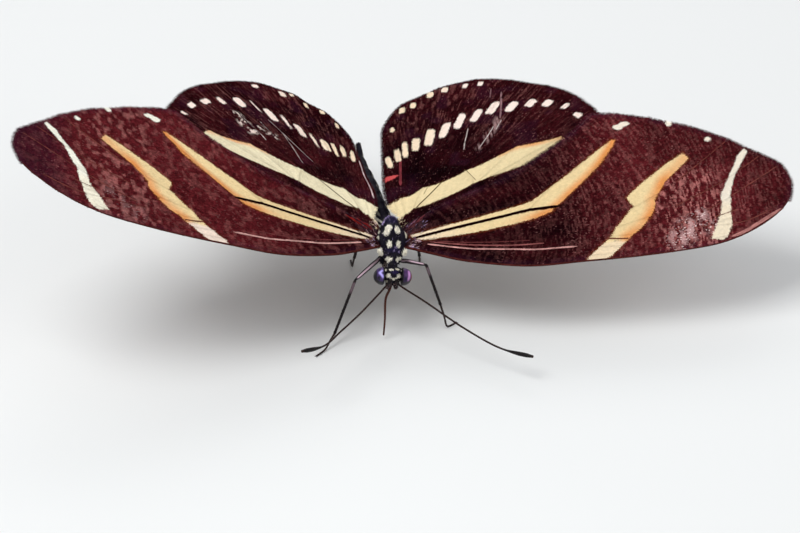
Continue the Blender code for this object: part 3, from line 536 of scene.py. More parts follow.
def hind_tint(s, q, side, grain):
    """Colour of the hind wing at many (s, q)."""
    wobble = (lattice_noise(s * 2.2, q * 2.2, 6) - 0.5) * 0.1 + (grain - 0.5) * 0.05
    fine = lattice_noise(s * 5.0, q * 5.0, 18)
    cloud = lattice_noise(s * 0.4, q * 0.4, 19)
    far = smooth((np.hypot(s, q) - 14.0) / 8.0)
    if side > 0:
        ground = mix(BLACK_BROWN, MAROON, 0.2 * cloud + 0.16 * far)
        strength = (0.02 + 0.2 * far) * (1.0 - 0.6 * smooth((s - 10.0) / 5.0))
    else:
        ground = mix(BLACK_BROWN, MAROON, 0.06 + 0.34 * cloud)
        strength = 0.06 + 0.15 * far
    rays = lattice_noise(np.arctan2(q + 1.0, s - 1.0) * 130.0, np.hypot(s, q) * 0.9, 24)
    ground = mix(ground, RUST, smooth((rays - 0.5) / 0.35) * strength)
    ground = ground * (0.55 + 0.9 * fine)[:, None]
    # Painted violet sheen in soft patches.
    violet_sheen_share = smooth((lattice_noise(s * 0.7, q * 0.7, 23) - 0.55) / 0.3)
    ground = mix(ground, VIOLET_SHEEN, 0.25 * violet_sheen_share)
    speck = (grain > 0.96) * smooth((lattice_noise(s * 0.9, q * 0.9, 22) - 0.2) / 0.5)
    ground = mix(ground, ROSE, speck * 0.22)
    if side > 0:
        # Painted glint, flecked, along a ray of the left hind wing.
        near = smooth((0.85 - line_distance(s, q, HIND_GLINT_RAY)) / 0.75)
        flecks = smooth((lattice_noise(s * 5.5 - q * 1.6, q * 0.5, 45) - 0.3) / 0.5)
        ground = mix(ground, RAY_GLINT, near * flecks * 0.6)
        wedge = smooth((shape_depth(s, q, HIND_WEDGE) + 0.1) / 0.15)
        ground = mix(ground, WEDGE_RED, wedge * 0.95)
    else:
        for place_s, place_q, radius in HIND_SPECKLE:
            near = smooth(1.25 - np.hypot(s - place_s, q - place_q) / radius)
            noise = lattice_noise(s * 3.6, q * 3.0, 46) + (grain - 0.5) * 0.3
            flecks = smooth((noise - 0.56) / 0.12)
            ground = mix(ground, PINK_WHITE, near * flecks * 0.85)

    band = shape_depth(s, q, HIND_BAND)
    spots = spot_depth(s, q, HIND_SPOTS_LEFT if side > 0 else HIND_SPOTS_RIGHT)
    dots = spot_depth(s, q, HIND_DOTS_LEFT if side > 0 else HIND_DOTS_RIGHT)
    spots = np.maximum(spots, dots)
    pale = np.maximum(band, spots)
    veins = HIND.vein_distance(s, q)
    shade = 0.95 + 0.07 * fine - 0.1 * np.exp(-(veins / 0.1) ** 2)
    rear = line_distance(s, q, HIND_BAND_REAR)
    warmth = smooth((0.75 - rear) / 0.7) * (0.45 + 0.4 * lattice_noise(s * 0.6, q * 0.6, 52))
    colour = mix(HIND_CREAM_LEFT if side > 0 else HIND_CREAM_RIGHT, PEACH, warmth)
    creamy = mix(PINK_WHITE, CREAM, 0.55 * smooth((4.0 - s) / 5.0))
    colour = np.where((spots > band)[:, None], creamy, colour) * shade[:, None]
    fringe = smooth((band + 0.26 + wobble) / 0.25)
    ground = mix(ground, HIND_FRINGE, 0.45 * fringe)
    return mix(ground, colour, smooth((pale + wobble * 0.6) / 0.1 + 0.5))


# Small red spots under the wings' bases.
FORE_BASE_SPOTS = [(1.8, -0.9), (2.6, 0.4)]
HIND_BASE_SPOTS = [(1.6, -1.6), (2.6, -0.6), (0.9, -2.6)]


def under_tint(tint, s, q, kind, grain):
    """The underside's paler colours, with small red spots at the wing's base."""
    under = mix(tint * 1.15 + linear(20, 12, 10), linear(96, 66, 52), 0.25 + 0.2 * grain)
    for place_s, place_q in HIND_BASE_SPOTS if kind is HIND else FORE_BASE_SPOTS:
        near = smooth((0.5 - np.hypot(s - place_s, q - place_q)) / 0.15)
        under = mix(under, BASE_RED, near)
    return under


def make_piece(name, points, triangles, look, tint, chart):
    """An object of triangles; points are in millimetres, each with a colour and a flat place."""
    mesh = bpy.data.meshes.new(name)
    mesh.vertices.add(len(points))
    mesh.vertices.foreach_set("co", (np.asarray(points) * MM).astype(np.float32).ravel())
    triangles = np.asarray(triangles, np.int32)
    mesh.loops.add(len(triangles) * 3)
    mesh.loops.foreach_set("vertex_index", triangles.ravel())
    mesh.polygons.add(len(triangles))
    mesh.polygons.foreach_set("loop_start", np.arange(0, len(triangles) * 3, 3, dtype=np.int32))
    mesh.update(calc_edges=True)
    mesh.polygons.foreach_set("use_smooth", np.ones(len(triangles), bool))
    layer = mesh.attributes.new("tint", "FLOAT_COLOR", "POINT")
    full = np.ones((len(points), 4), np.float32)
    full[:, :3] = np.clip(tint, 0.0, 1.0)
    layer.data.foreach_set("color", full.ravel())
    layer = mesh.uv_layers.new(name="OFBake")
    flat = np.asarray(chart, np.float32)[triangles.ravel()]
    layer.data.foreach_set("uv", flat.ravel())
    mesh.materials.append(look)
    piece = bpy.data.objects.new(name, mesh)
    bpy.context.scene.collection.objects.link(piece)
    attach(piece, "root")
    return piece


def add_node(tree, kind, values=None):
    """A new shader node with values for some of its inputs."""
    node = tree.nodes.new("ShaderNode" + kind)
    for name, value in (values or {}).items():
        node.inputs[name].default_value = value
    return node


def make_look(name, values, scale, spread, rough, grain=None):
    """A material whose colour is the piece's own tint.

    Noise of the given scale makes the tint lighter and darker over the spread, and sets the
    roughness over its range. A grain adds bump: node, values, output, strength and distance.
    """
    look = bpy.data.materials.new(name)
    look.use_nodes = True
    tree = look.node_tree
    link = tree.links.new
    shader = tree.nodes["Principled BSDF"]
    for key, value in values.items():
        shader.inputs[key].default_value = value
    tint = add_node(tree, "Attribute")
    tint.attribute_name = "tint"
    place = add_node(tree, "TexCoord").outputs["Object"]
    noise = add_node(tree, "TexNoise", {"Scale": scale, "Detail": 3.0})
    link(place, noise.inputs["Vector"])
    ranges = []
    for low, high in (spread, rough):
        spread_node = add_node(tree, "MapRange", {"To Min": low, "To Max": high})
        link(noise.outputs["Fac"], spread_node.inputs["Value"])
        ranges.append(spread_node.outputs["Result"])
    product = add_node(tree, "VectorMath")
    product.operation = "SCALE"
    link(tint.outputs["Color"], product.inputs[0])
    link(ranges[0], product.inputs["Scale"])
    link(product.outputs["Vector"], shader.inputs["Base Color"])
    link(ranges[1], shader.inputs["Roughness"])
    if grain:
        kind, grain_values, output, strength, distance = grain
        texture = add_node(tree, kind, grain_values)
        link(place, texture.inputs["Vector"])
        bump = add_node(tree, "Bump", {"Strength": strength, "Distance": distance})
        link(texture.outputs[output], bump.inputs["Height"])
        link(bump.outputs["Normal"], shader.inputs["Normal"])
    return look


def skin_look(name, scale, roughness, coat=0.0):
    """Horny skin with fine grain."""
    values = {"Roughness": roughness, "Specular IOR Level": 0.16, "Sheen Weight": 0.0,
              "Coat Weight": coat, "Coat Roughness": 0.3}
    return make_look(name, values, scale, (0.8, 1.2), (roughness - 0.1, roughness + 0.15),
                     ("TexVoronoi", {"Scale": scale * 3.0}, "Distance", 0.4, 0.00003))


# Wing scales are matt with a faint silky sheen; an eye has facets under a clear, glossy surface.
WING_LOOK = make_look(
    "wing_scales", {"Roughness": 0.6, "Specular IOR Level": 0.0, "Sheen Weight": 0.002,
                    "Coat Weight": 0.0, "Sheen Roughness": 0.35,
                    "Sheen Tint": (0.75, 0.6, 0.85, 1.0)},
    2600.0, (0.92, 1.08), (0.5, 0.72),
    ("TexNoise", {"Scale": 14000.0, "Detail": 2.0}, "Fac", 0.35, 0.00002))
MEMBRANE_LOOK = skin_look("wing_membrane", 2400.0, 0.6)
HAIR_LOOK = make_look(
    "body_hair", {"Roughness": 0.5, "Specular IOR Level": 0.1, "Sheen Weight": 0.01,
                  "Coat Weight": 0.0},
    5200.0, (0.8, 1.2), (0.36, 0.6))
SKIN_LOOK = skin_look("body_skin", 2600.0, 0.5)
LEG_LOOK = skin_look("leg_horn", 2200.0, 0.45, coat=0.04)
HORN_LOOK = skin_look("feeler_horn", 2600.0, 0.45, coat=0.03)
EYE_LOOK = make_look(
    "eye_facets", {"Roughness": 0.35, "Specular IOR Level": 0.2, "Sheen Weight": 0.0,
                   "Coat Weight": 0.12, "Coat Roughness": 0.12},
    1500.0, (0.65, 1.35), (0.22, 0.4),
    ("TexVoronoi", {"Scale": 17000.0}, "Distance", 0.5, 0.00002))

# Rows of net points beside a vein; the net's step between the veins and its rows' share of it.
VEIN_ROWS = (0.0, 0.13, -0.13, 0.32, -0.32)
NET_STEP = 0.42
ROW_RATIO = 0.866


def wing_net(kind):
    """Flat points and triangles of a wing, fine along its veins."""
    outline = kind.outline
    points = [tuple(p) for p in outline]
    lines = []
    for crest in kind.crests:
        way = path_way(crest)
        across = np.stack([-way[:, 1], way[:, 0]], axis=-1)
        for offset in VEIN_ROWS:
            row = crest + across * offset
            kept = inside(row[:, 0], row[:, 1], outline)
            kept &= rim_distance(row[:, 0], row[:, 1], outline) > 0.12
            start = len(points)
            row = row[kept]
            points += [tuple(p) for p in row]
            if offset == 0.0:
                lines += [(start + k, start + k + 1) for k in range(len(row) - 1)]
    low = outline.min(axis=0)
    high = outline.max(axis=0)
    rows = np.arange(low[1], high[1], NET_STEP * ROW_RATIO)
    grid = []
    for index, q in enumerate(rows):
        s = np.arange(low[0] + (index % 2) * NET_STEP / 2.0, high[0], NET_STEP)
        grid.append(np.stack([s, np.full(len(s), q)], axis=-1))
    grid = np.vstack(grid)
    kept = inside(grid[:, 0], grid[:, 1], outline)
    kept &= rim_distance(grid[:, 0], grid[:, 1], outline) > 0.2
    kept &= kind.vein_distance(grid[:, 0], grid[:, 1]) > 0.45
    points += [tuple(p) for p in grid[kept]]
    ring = [list(range(len(outline)))]
    flat, _, faces, _, _, _ = delaunay_2d_cdt([Vector(p) for p in points], lines, ring, 1, 0.01)
    flat = np.array([tuple(p) for p in flat])
    return flat, np.array([tuple(f) for f in faces])


def make_membrane(name, node, wing, kind, net, tint_rule):
    """The wing's sheet, closed round its rim."""
    flat, faces = net
    s = flat[:, 0]
    q = flat[:, 1]
    middle, _, _, normal = wing_frame(wing, s, q)
    lift = kind.relief(s, q)[:, None]
    thin = kind.half_thickness(s, q)[:, None]
    top = middle + normal * (lift + thin)
    low = middle + normal * (lift * 0.8 - thin)
    count = len(top)
    edges = {}
    for face in faces:
        for a, b in zip(face, np.roll(face, -1)):
            edges[(int(a), int(b))] = True
    rim = [(a, b) for a, b in edges if (b, a) not in edges]
    shell = [faces, faces[:, ::-1] + count]
    shell.append(np.array([(b, a, count + a) for a, b in rim]))
    shell.append(np.array([(b, count + a, count + b) for a, b in rim]))
    shell = np.vstack(shell)
    if wing["side"] < 0:
        shell = shell[:, ::-1]
    grain = np.full(count, 0.5)
    tint = tint_rule(s, q, wing["side"], grain)
    tint = np.vstack([tint, under_tint(tint, s, q, kind, grain)])
    chart = kind.chart(s, q)
    chart = np.vstack([chart * (0.49, 1.0), chart * (0.49, 1.0) + (0.505, 0.0)])
    piece = make_piece(name, np.vstack([top, low]), shell, MEMBRANE_LOOK, tint, chart)
    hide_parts(node)
    return piece


def scale_places(kind, row_step, across_step, seed):
    """Places and outward headings of scales in rows round the hinge."""
    draw = np.random.default_rng(seed)
    outline = kind.outline
    reach = float(np.hypot(outline[:, 0], outline[:, 1]).max())
    rows = []
    for radius in np.arange(0.3, reach, row_step):
        count = int(2.0 * math.pi * radius / across_step)
        angle = (np.arange(count) + draw.random()) * 2.0 * math.pi / count
        rows.append(np.stack([radius * np.cos(angle), radius * np.sin(angle), angle], axis=-1))
    rows = np.vstack(rows)
    rows[:, :2] += draw.normal(0.0, 0.12 * across_step, (len(rows), 2))
    rows = rows[inside(rows[:, 0], rows[:, 1], outline)]
    return rows[rim_distance(rows[:, 0], rows[:, 1], outline) > 0.09]


# Corners of one flake, across and along it, and its triangles.
SCALE_SHAPE = np.array([(-0.3, 0.0), (0.3, 0.0), (0.5, 0.72), (0.05, 1.0), (-0.5, 0.75)])
SCALE_TRIANGLES = np.array([(0, 1, 2), (0, 2, 4), (2, 3, 4)])
FRINGE_SHAPE = np.array([(-0.5, 0.0), (0.5, 0.0), (0.4, 0.8), (0.0, 1.0)])
FRINGE_TRIANGLES = np.array([(0, 1, 2), (0, 2, 3)])
FLAKE_PATCH = 0.003
# How high the roots of scales and of line scales stand over the membrane.
SCALE_LIFT = 0.006
LINE_LIFT = 0.045


def repeated(pattern, count, corners):
    """The triangles of one flake or blade, repeated for each of many."""
    return (pattern[None] + (np.arange(count) * corners)[:, None, None]).reshape(-1, 3)


def patch_chart(centre, patch):
    """A small patch of the flat unwrap round each of many centres."""
    return (centre[:, None, :] + patch[None]).reshape(-1, 2)


def flake_chart(kind, s, q, shape):
    """Flat places of the corners of many flakes that have their roots at (s, q)."""
    return patch_chart(kind.chart(s, q), (shape - (0.0, 0.5)) * FLAKE_PATCH)


def flake_corners(shape, s, q, heading, long, wide):
    """The (s, q) of the corners of many flakes, each turned to its heading."""
    cos = np.cos(heading)[:, None]
    sin = np.sin(heading)[:, None]
    along = shape[:, 1][None, :] * long[:, None]
    across = shape[:, 0][None, :] * wide[:, None]
    return ((s[:, None] + along * cos - across * sin).ravel(),
            (q[:, None] + along * sin + across * cos).ravel())


def make_scales(name, wing, kind, tint_rule, upper, row_step, across_step, seed):
    """Overlapping scales over one face of a wing."""
    draw = np.random.default_rng(seed)
    rows = scale_places(kind, row_step, across_step, seed)
    s = rows[:, 0]
    q = rows[:, 1]
    count = len(rows)
    heading = rows[:, 2] + draw.normal(0.0, 0.16, count)
    long = row_step * 1.75 * draw.uniform(0.85, 1.15, count)
    wide = across_step * 1.35 * draw.uniform(0.85, 1.15, count)
    tip_height = draw.uniform(0.016, 0.038, count)
    tip_s = s + long * np.cos(heading)
    tip_q = q + long * np.sin(heading)
    over = shape_depth(tip_s, tip_q, kind.outline) < 0.02
    long = np.where(over, long * 0.35, long)
    grain = draw.random(count)
    seen_s = s + 0.5 * long * np.cos(heading)
    seen_q = q + 0.5 * long * np.sin(heading)
    tint = tint_rule(seen_s, seen_q, wing["side"], grain)
    if not upper:
        tint = under_tint(tint, s, q, kind, grain)
    spread = np.where(tint.mean(axis=1) > 0.2, 0.05, 0.3)
    tint = tint * (1.0 + spread * draw.uniform(-1.0, 1.0, count))[:, None]
    height = SCALE_LIFT + SCALE_SHAPE[:, 1][None, :] ** 0.7 * tip_height[:, None]
    turn = draw.normal(0.0, 0.02, count)
    height = height + SCALE_SHAPE[:, 0][None, :] * turn[:, None]
    all_s, all_q = flake_corners(SCALE_SHAPE, s, q, heading, long, wide)
    middle, _, _, normal = wing_frame(wing, all_s, all_q)
    lift = kind.relief(all_s, all_q)
    thin = kind.half_thickness(all_s, all_q)
    if upper:
        offset = lift + thin + np.maximum(height.ravel(), 0.003)
    else:
        offset = lift * 0.8 - thin - np.maximum(height.ravel(), 0.003)
    points = middle + normal * offset[:, None]
    triangles = repeated(SCALE_TRIANGLES, count, 5)
    if (wing["side"] < 0) == upper:
        triangles = triangles[:, ::-1]
    return make_piece(name, points, triangles, WING_LOOK, np.repeat(tint, 5, axis=0),
                      flake_chart(kind, s, q, SCALE_SHAPE))


LINE_STEP = 0.06


def make_line_scales(name, wing, kind, tint_rule, lines, seed):
    """Rows of narrow scales along lines: points, half width, colour and share of scales kept."""
    draw = np.random.default_rng(seed)
    spots = []
    for points, half, colour, kept in lines:
        line = through(points, 0.05)
        gone = path_lengths(line)
        at = np.arange(0.0, gone[-1], LINE_STEP)
        way = np.gradient(line, axis=0)
        heading = np.interp(at, gone, np.unwrap(np.arctan2(way[:, 1], way[:, 0])))
        place_s = np.interp(at, gone, line[:, 0])
        place_q = np.interp(at, gone, line[:, 1])
        taper = np.minimum(1.0, 0.35 + np.minimum(at, gone[-1] - at) / 0.8)
        rows = max(1, round(2.0 * half / 0.05))
        for row in range(rows):
            offset = (row + 0.5 - rows / 2.0) * 2.0 * half / rows * taper
            full = np.stack([place_s - np.sin(heading) * offset, place_q + np.cos(heading) * offset,
                             heading, np.full(len(at), min(half * 2.2, 0.085))], axis=-1)
            chosen = draw.random(len(at)) < kept
            chosen &= inside(full[:, 0], full[:, 1], kind.outline)
            # Lines with a share below one, the painted glints among them, are left off pale ground
            # and made uneven in brightness.
            if kept < 1.0:
                beneath = tint_rule(full[:, 0], full[:, 1], wing["side"], np.full(len(at), 0.5))
                chosen &= beneath.mean(axis=1) < 0.16
            uneven = 1.0
            if kept < 1.0:
                uneven = 0.5 + 0.7 * lattice_noise(at * 1.4, np.full(len(at), row * 0.7), seed)
            shades = np.broadcast_to(colour, (len(at), 3)) * np.reshape(uneven, (-1, 1))
            spots.append(np.hstack([full[chosen], shades[chosen]]))
    spots = np.vstack(spots)
    count = len(spots)
    heading = spots[:, 2] + draw.normal(0.0, 0.06, count)
    long = draw.uniform(0.16, 0.24, count)
    all_s, all_q = flake_corners(SCALE_SHAPE, spots[:, 0], spots[:, 1], heading, long, spots[:, 3])
    middle, _, _, normal = wing_frame(wing, all_s, all_q)
    thin = kind.half_thickness(all_s, all_q)
    height = (LINE_LIFT + np.tile(SCALE_SHAPE[:, 1], count) * 0.012
              + np.repeat(draw.uniform(0.0, 0.01, count), 5))
    points = middle + normal * (kind.relief(all_s, all_q) + thin + height)[:, None]
    triangles = repeated(SCALE_TRIANGLES, count, 5)
    if wing["side"] < 0:
        triangles = triangles[:, ::-1]
    tint = spots[:, 4:] * draw.uniform(0.85, 1.15, count)[:, None]
    return make_piece(name, points, triangles, WING_LOOK, np.repeat(tint, 5, axis=0),
                      flake_chart(kind, spots[:, 0], spots[:, 1], SCALE_SHAPE))


def make_fringe(name, wing, kind, tint_rule, slot, first, last, seed):
    """Hair scales that stand out from the wing's outer margin."""
    draw = np.random.default_rng(seed)
    outline = through(kind.outline, 0.05)
    near_start = np.argmin(np.hypot(*(outline - first).T))
    near_end = np.argmin(np.hypot(*(outline - last).T))
    line = outline[near_start:near_end]
    way = path_way(line)
    out = np.stack([-way[:, 1], way[:, 0]], axis=-1)
    probe = line + out * 0.3
    if np.mean(inside(probe[:, 0], probe[:, 1], kind.outline)) > 0.5:
        out = -out
    line = np.repeat(line, 3, axis=0)
    out = np.repeat(out, 3, axis=0)
    count = len(line)
    heading = np.arctan2(out[:, 1], out[:, 0]) + draw.normal(0.0, 0.22, count)
    long = draw.uniform(0.22, 0.5, count)
    wide = draw.uniform(0.03, 0.06, count)
    root = line - out * draw.uniform(0.02, 0.12, count)[:, None]
    tint = tint_rule(root[:, 0], root[:, 1], wing["side"], draw.random(count))
    tint = tint * draw.uniform(0.8, 1.3, count)[:, None]
    all_s, all_q = flake_corners(FRINGE_SHAPE, root[:, 0], root[:, 1], heading, long, wide)
    middle, _, _, normal = wing_frame(wing, all_s, all_q)
    lift = kind.relief(np.repeat(root[:, 0], 4), np.repeat(root[:, 1], 4))
    layer = np.repeat(draw.uniform(-0.05, 0.06, count), 4)
    droop = -0.12 * np.tile(FRINGE_SHAPE[:, 1] ** 2, count) * np.repeat(long, 4)
    points = middle + normal * (lift + layer + droop)[:, None]
    triangles = repeated(FRINGE_TRIANGLES, count, 4)
    return make_piece(name, points, triangles, WING_LOOK, np.repeat(tint, 4, axis=0),
                      flake_chart(kind, root[:, 0], root[:, 1], FRINGE_SHAPE))


FORE_LINES = [
    (FORE_DARK_LINES[0][0], 0.15, linear(22, 6, 6), 1.0),
    (FORE_DARK_LINES[1][0], 0.06, linear(104, 58, 44), 1.0),
    (FORE_DARK_LINES[2][0], 0.03, linear(128, 84, 66), 1.0),
    # The next four lines, along the outer veins, are painted glints.
    ([(27.5, 4.35), (31.0, 4.4), (35.5, 4.4), (39.0, 3.3)], 0.05, linear(118, 62, 56), 0.6),
    ([(28.5, 3.8), (33.0, 2.0), (40.8, -2.2)], 0.05, linear(118, 62, 56), 0.55),
    ([(29.0, 1.3), (34.0, -0.8), (39.2, -3.8)], 0.05, linear(112, 56, 50), 0.5),
    ([(29.6, -1.7), (36.0, -6.2)], 0.05, linear(112, 56, 50), 0.5),
]
# A painted glint along the radius vein.
RADIUS_GLINT = [(2.0, 0.9), (4.4, 1.8), (6.6, 2.55), (8.3, 2.95), (10.7, 3.5), (13.1, 4.03),
               (15.5, 4.35), (17.4, 4.6)]
REAR_LINE = [(2.3, 0.7), (3.8, 1.25), (5.4, 1.75), (7.4, 2.3), (9.5, 2.8), (11.6, 3.2), (14.0, 3.5)]
REAR_LINE_2 = [(3.0, 0.75), (6.0, 1.6), (9.5, 2.3), (12.5, 2.75)]
# Colour of painted glints along the hind wings' veins.
GLINT_PALE = linear(198, 182, 178)
WING_LINES = {
    "forewing_left": FORE_LINES + [
        (RADIUS_GLINT, 0.065, linear(200, 146, 140), 0.72),
        (REAR_LINE, 0.05, linear(142, 82, 80), 0.7),
        (REAR_LINE_2, 0.04, linear(104, 52, 52), 0.6),
        ([(34.1, 6.0), (35.6, 5.55), (37.4, 4.65), (40.2, 3.2)], 0.17, linear(178, 120, 114), 0.6),
        ([(2.4, -3.0), (1.3, -2.2), (0.5, -1.6)], 0.06, linear(96, 40, 46), 0.7),
        ([(1.4, -2.6), (0.5, -1.9)], 0.05, linear(120, 70, 84), 0.7)],
    "forewing_right": FORE_LINES + [
        (RADIUS_GLINT, 0.075, linear(214, 164, 156), 0.75),
        (REAR_LINE, 0.04, linear(112, 56, 56), 0.5),
        ([(2.3, -0.85), (1.7, -0.38), (1.0, 0.0)], 0.06, linear(34, 12, 10), 1.0),
        ([(2.0, -2.9), (1.2, -2.35), (0.4, -1.8)], 0.05, DULL_RED, 0.9),
        ([(2.7, -2.8), (1.8, -2.2), (1.0, -1.6)], 0.05, DULL_RED, 0.9),
        ([(1.2, -2.6), (0.5, -2.1)], 0.05, DULL_RED, 0.9),
        ([(3.3, -3.0), (2.4, -2.4), (1.8, -1.9)], 0.05, DULL_RED, 0.8)],
    "hindwing_left": [
        ([(3.6, -8.5), (1.6, -4.7), (1.3, -4.0)], 0.04, linear(78, 60, 34), 1.0),
        ([(5.8, -9.95), (7.2, -8.0)], 0.03, linear(96, 78, 50), 1.0),
        ([(2.0, -7.5), (1.75, -6.3)], 0.025, linear(150, 132, 94), 1.0),
        ([(8.2, -24.0), (8.5, -21.5), (8.66, -19.2)], 0.09, linear(150, 112, 116), 0.6),
        ([(6.85, -25.1), (6.95, -23.4)], 0.07, linear(124, 88, 92), 0.6),
        ([(8.2, -17.9), (7.6, -15.6), (6.9, -13.6)], 0.05, GLINT_PALE, 0.75),
        ([(8.9, -18.6), (8.5, -16.9)], 0.05, GLINT_PALE, 0.6),
        ([(5.16, -17.8), (5.25, -13.8)], 0.05, GLINT_PALE, 0.6),
        ([(-1.65, -13.5), (-1.3, -10.8), (-0.95, -8.2)], 0.12, linear(124, 52, 58), 0.9)],
    "hindwing_right": [
        ([(4.4, -8.9), (1.6, -4.2), (1.3, -3.6)], 0.045, linear(70, 50, 32), 1.0),
        ([(10.3, -18.9), (9.5, -16.6), (8.8, -14.5)], 0.035, GLINT_PALE, 0.7),
        ([(6.7, -19.1), (5.2, -15.4), (3.8, -11.9)], 0.04, GLINT_PALE, 0.8),
        ([(5.9, -16.9), (5.4, -13.8), (5.2, -11.4)], 0.035, GLINT_PALE, 0.7),
        ([(7.9, -18.4), (7.0, -15.6)], 0.03, GLINT_PALE, 0.5),
        # Painted highlight along the wing's inner edge.
        ([(-3.7, -14.4), (-2.9, -10.6), (-1.9, -5.9)], 0.07, linear(228, 200, 200), 0.95)],
}

# Steps between the rows of scales and along a row; the underside has larger scales.
ROW_STEP = 0.155
ACROSS_STEP = 0.115
UNDER_ROW = 1.5
UNDER_ACROSS = 1.6
# First and last point of the fringe.
FRINGE_ENDS = {"fore_wing": ((41.2, 2.2), (3.0, -3.4)), "hind_wing": ((20.6, -11.6), (-0.3, -2.6))}
fore_net = wing_net(FORE)
hind_net = wing_net(HIND)
WINGS = [("forewing_left", FORE_LEFT, FORE, fore_net, fore_tint, "fore_wing"),
         ("forewing_right", FORE_RIGHT, FORE, fore_net, fore_tint, "fore_wing"),
         ("hindwing_left", HIND_LEFT, HIND, hind_net, hind_tint, "hind_wing"),
         ("hindwing_right", HIND_RIGHT, HIND, hind_net, hind_tint, "hind_wing")]
for number, (node, wing, kind, net, tint_rule, slot) in enumerate(WINGS):
    make_membrane(node + "_sheet", node, wing, kind, net, tint_rule)
    make_scales(node + "_scales", wing, kind, tint_rule, True, ROW_STEP, ACROSS_STEP,
                SCALE_SEED + number)
    make_scales(node + "_scales_under", wing, kind, tint_rule, False,
                ROW_STEP * UNDER_ROW, ACROSS_STEP * UNDER_ACROSS, UNDER_SEED + number)
    make_fringe(node + "_fringe", wing, kind, tint_rule, slot, *FRINGE_ENDS[slot],
                FRINGE_SEED + number)
    make_line_scales(node + "_lines", wing, kind, tint_rule, WING_LINES[node],
                     LINE_SEED + number)


def body_axes():
    """Forward, left and up of the thorax."""
    forward = np.array((0.0, -math.cos(BODY_PITCH), -math.sin(BODY_PITCH)))
    up = np.array((0.0, -math.sin(BODY_PITCH), math.cos(BODY_PITCH)))
    left = np.array((1.0, 0.0, 0.0))
    turned_up = up * math.cos(BODY_ROLL) + left * math.sin(BODY_ROLL)
    turned_left = left * math.cos(BODY_ROLL) - up * math.sin(BODY_ROLL)
    return np.stack([forward, turned_left, turned_up])


def head_axes():
    """Forward, left and up of the head."""
    side = body_axes()[1]
    forward = np.array((0.0, -math.cos(HEAD_PITCH), -math.sin(HEAD_PITCH)))
    forward = unit(forward - side * (forward @ side))
    return np.stack([forward, side, np.cross(forward, side)])


BODY_AXES = body_axes()
HEAD_AXES = head_axes()
HEAD_PLACE = BODY_PLACE + BODY_AXES[0] * HEAD_FORWARD - BODY_AXES[2] * HEAD_DOWN


def from_body(f, l, u):
    """World place of a point named in the thorax's own directions."""
    return BODY_PLACE + np.array((f, l, u)) @ BODY_AXES


def from_head(f, l, u):
    """World place of a point named in the head's own directions."""
    return HEAD_PLACE + np.array((f, l, u)) @ HEAD_AXES


def ring_triangles(levels, sides):
    """Triangles between rings of points that follow one another."""
    triangles = []
    for level in range(levels - 1):
        for k in range(sides):
            a = level * sides + k
            b = level * sides + (k + 1) % sides
            triangles += [(a, b, b + sides), (a, b + sides, a + sides)]
    return triangles


def tube(path, radii, sides, flatten=1.0):
    """Points and triangles of a round tube along a path, closed at both ends."""
    path = np.asarray(path, float)
    count = len(path)
    way = path_way(path)
    guess = np.array((0.0, 0.0, 1.0))
    if abs(way[0] @ guess) > 0.95:
        guess = np.array((1.0, 0.0, 0.0))
    side = unit(np.cross(way[0], guess))
    angle = round_angles(sides)
    rings = []
    for index in range(count):
        side = unit(side - way[index] * (side @ way[index]))
        other = np.cross(way[index], side)
        rings.append(path[index] + radii[index] * (np.cos(angle)[:, None] * side
                                                   + flatten * np.sin(angle)[:, None] * other))
    points = np.vstack(rings + [path[:1] - way[:1] * radii[0] * 0.5,
                                path[-1:] + way[-1:] * radii[-1] * 0.5])
    triangles = ring_triangles(count, sides)
    base = (count - 1) * sides
    for k in range(sides):
        triangles.append(((k + 1) % sides, k, count * sides))
        triangles.append((base + k, base + (k + 1) % sides, count * sides + 1))
    return points, np.array(triangles)


def ring_values(values, sides, ends):
    """A value for each point of a tube, from one for each ring and one for each end."""
    return np.concatenate([np.repeat(values, sides), ends])


def tube_chart(levels, sides, share):
    """Flat places of a tube's points."""
    around = np.arange(sides) / sides
    flat = np.stack([np.repeat(0.05 + 0.9 * share, sides), np.tile(0.05 + 0.9 * around, levels)],
                    axis=-1)
    return np.vstack([flat, [(0.03, 0.5), (0.97, 0.5)]])


def joined(parts):
    """One set of points, triangles and tints from several."""
    points = []
    triangles = []
    tints = []
    count = 0
    for part_points, part_triangles, tint in parts:
        points.append(part_points)
        triangles.append(np.asarray(part_triangles) + count)
        tints.append(np.broadcast_to(tint, part_points.shape))
        count += len(part_points)
    return np.vstack(points), np.vstack(triangles), np.vstack(tints)


def ellipsoid(middle, halves, axes):
    """Points and triangles of an ellipsoid; its poles are on the first axis."""
    sides = 24
    levels = 16
    rings = []
    angle = round_angles(sides)
    for level in range(1, levels):
        turn = math.pi * level / levels
        centre = middle + axes[0] * halves[0] * math.cos(turn)
        rings.append(centre + math.sin(turn) * (np.cos(angle)[:, None] * halves[1] * axes[1]
                                                + np.sin(angle)[:, None] * halves[2] * axes[2]))
    points = np.vstack(rings + [(middle + axes[0] * halves[0])[None],
                                (middle - axes[0] * halves[0])[None]])
    triangles = []
    for level in range(levels - 2):
        for k in range(sides):
            a = level * sides + k
            b = level * sides + (k + 1) % sides
            triangles += [(a, a + sides, b + sides), (a, b + sides, b)]
    last = (levels - 2) * sides
    top = len(points) - 2
    for k in range(sides):
        triangles.append((top, k, (k + 1) % sides))
        triangles.append((last + k, top + 1, last + (k + 1) % sides))
    return points, np.array(triangles)


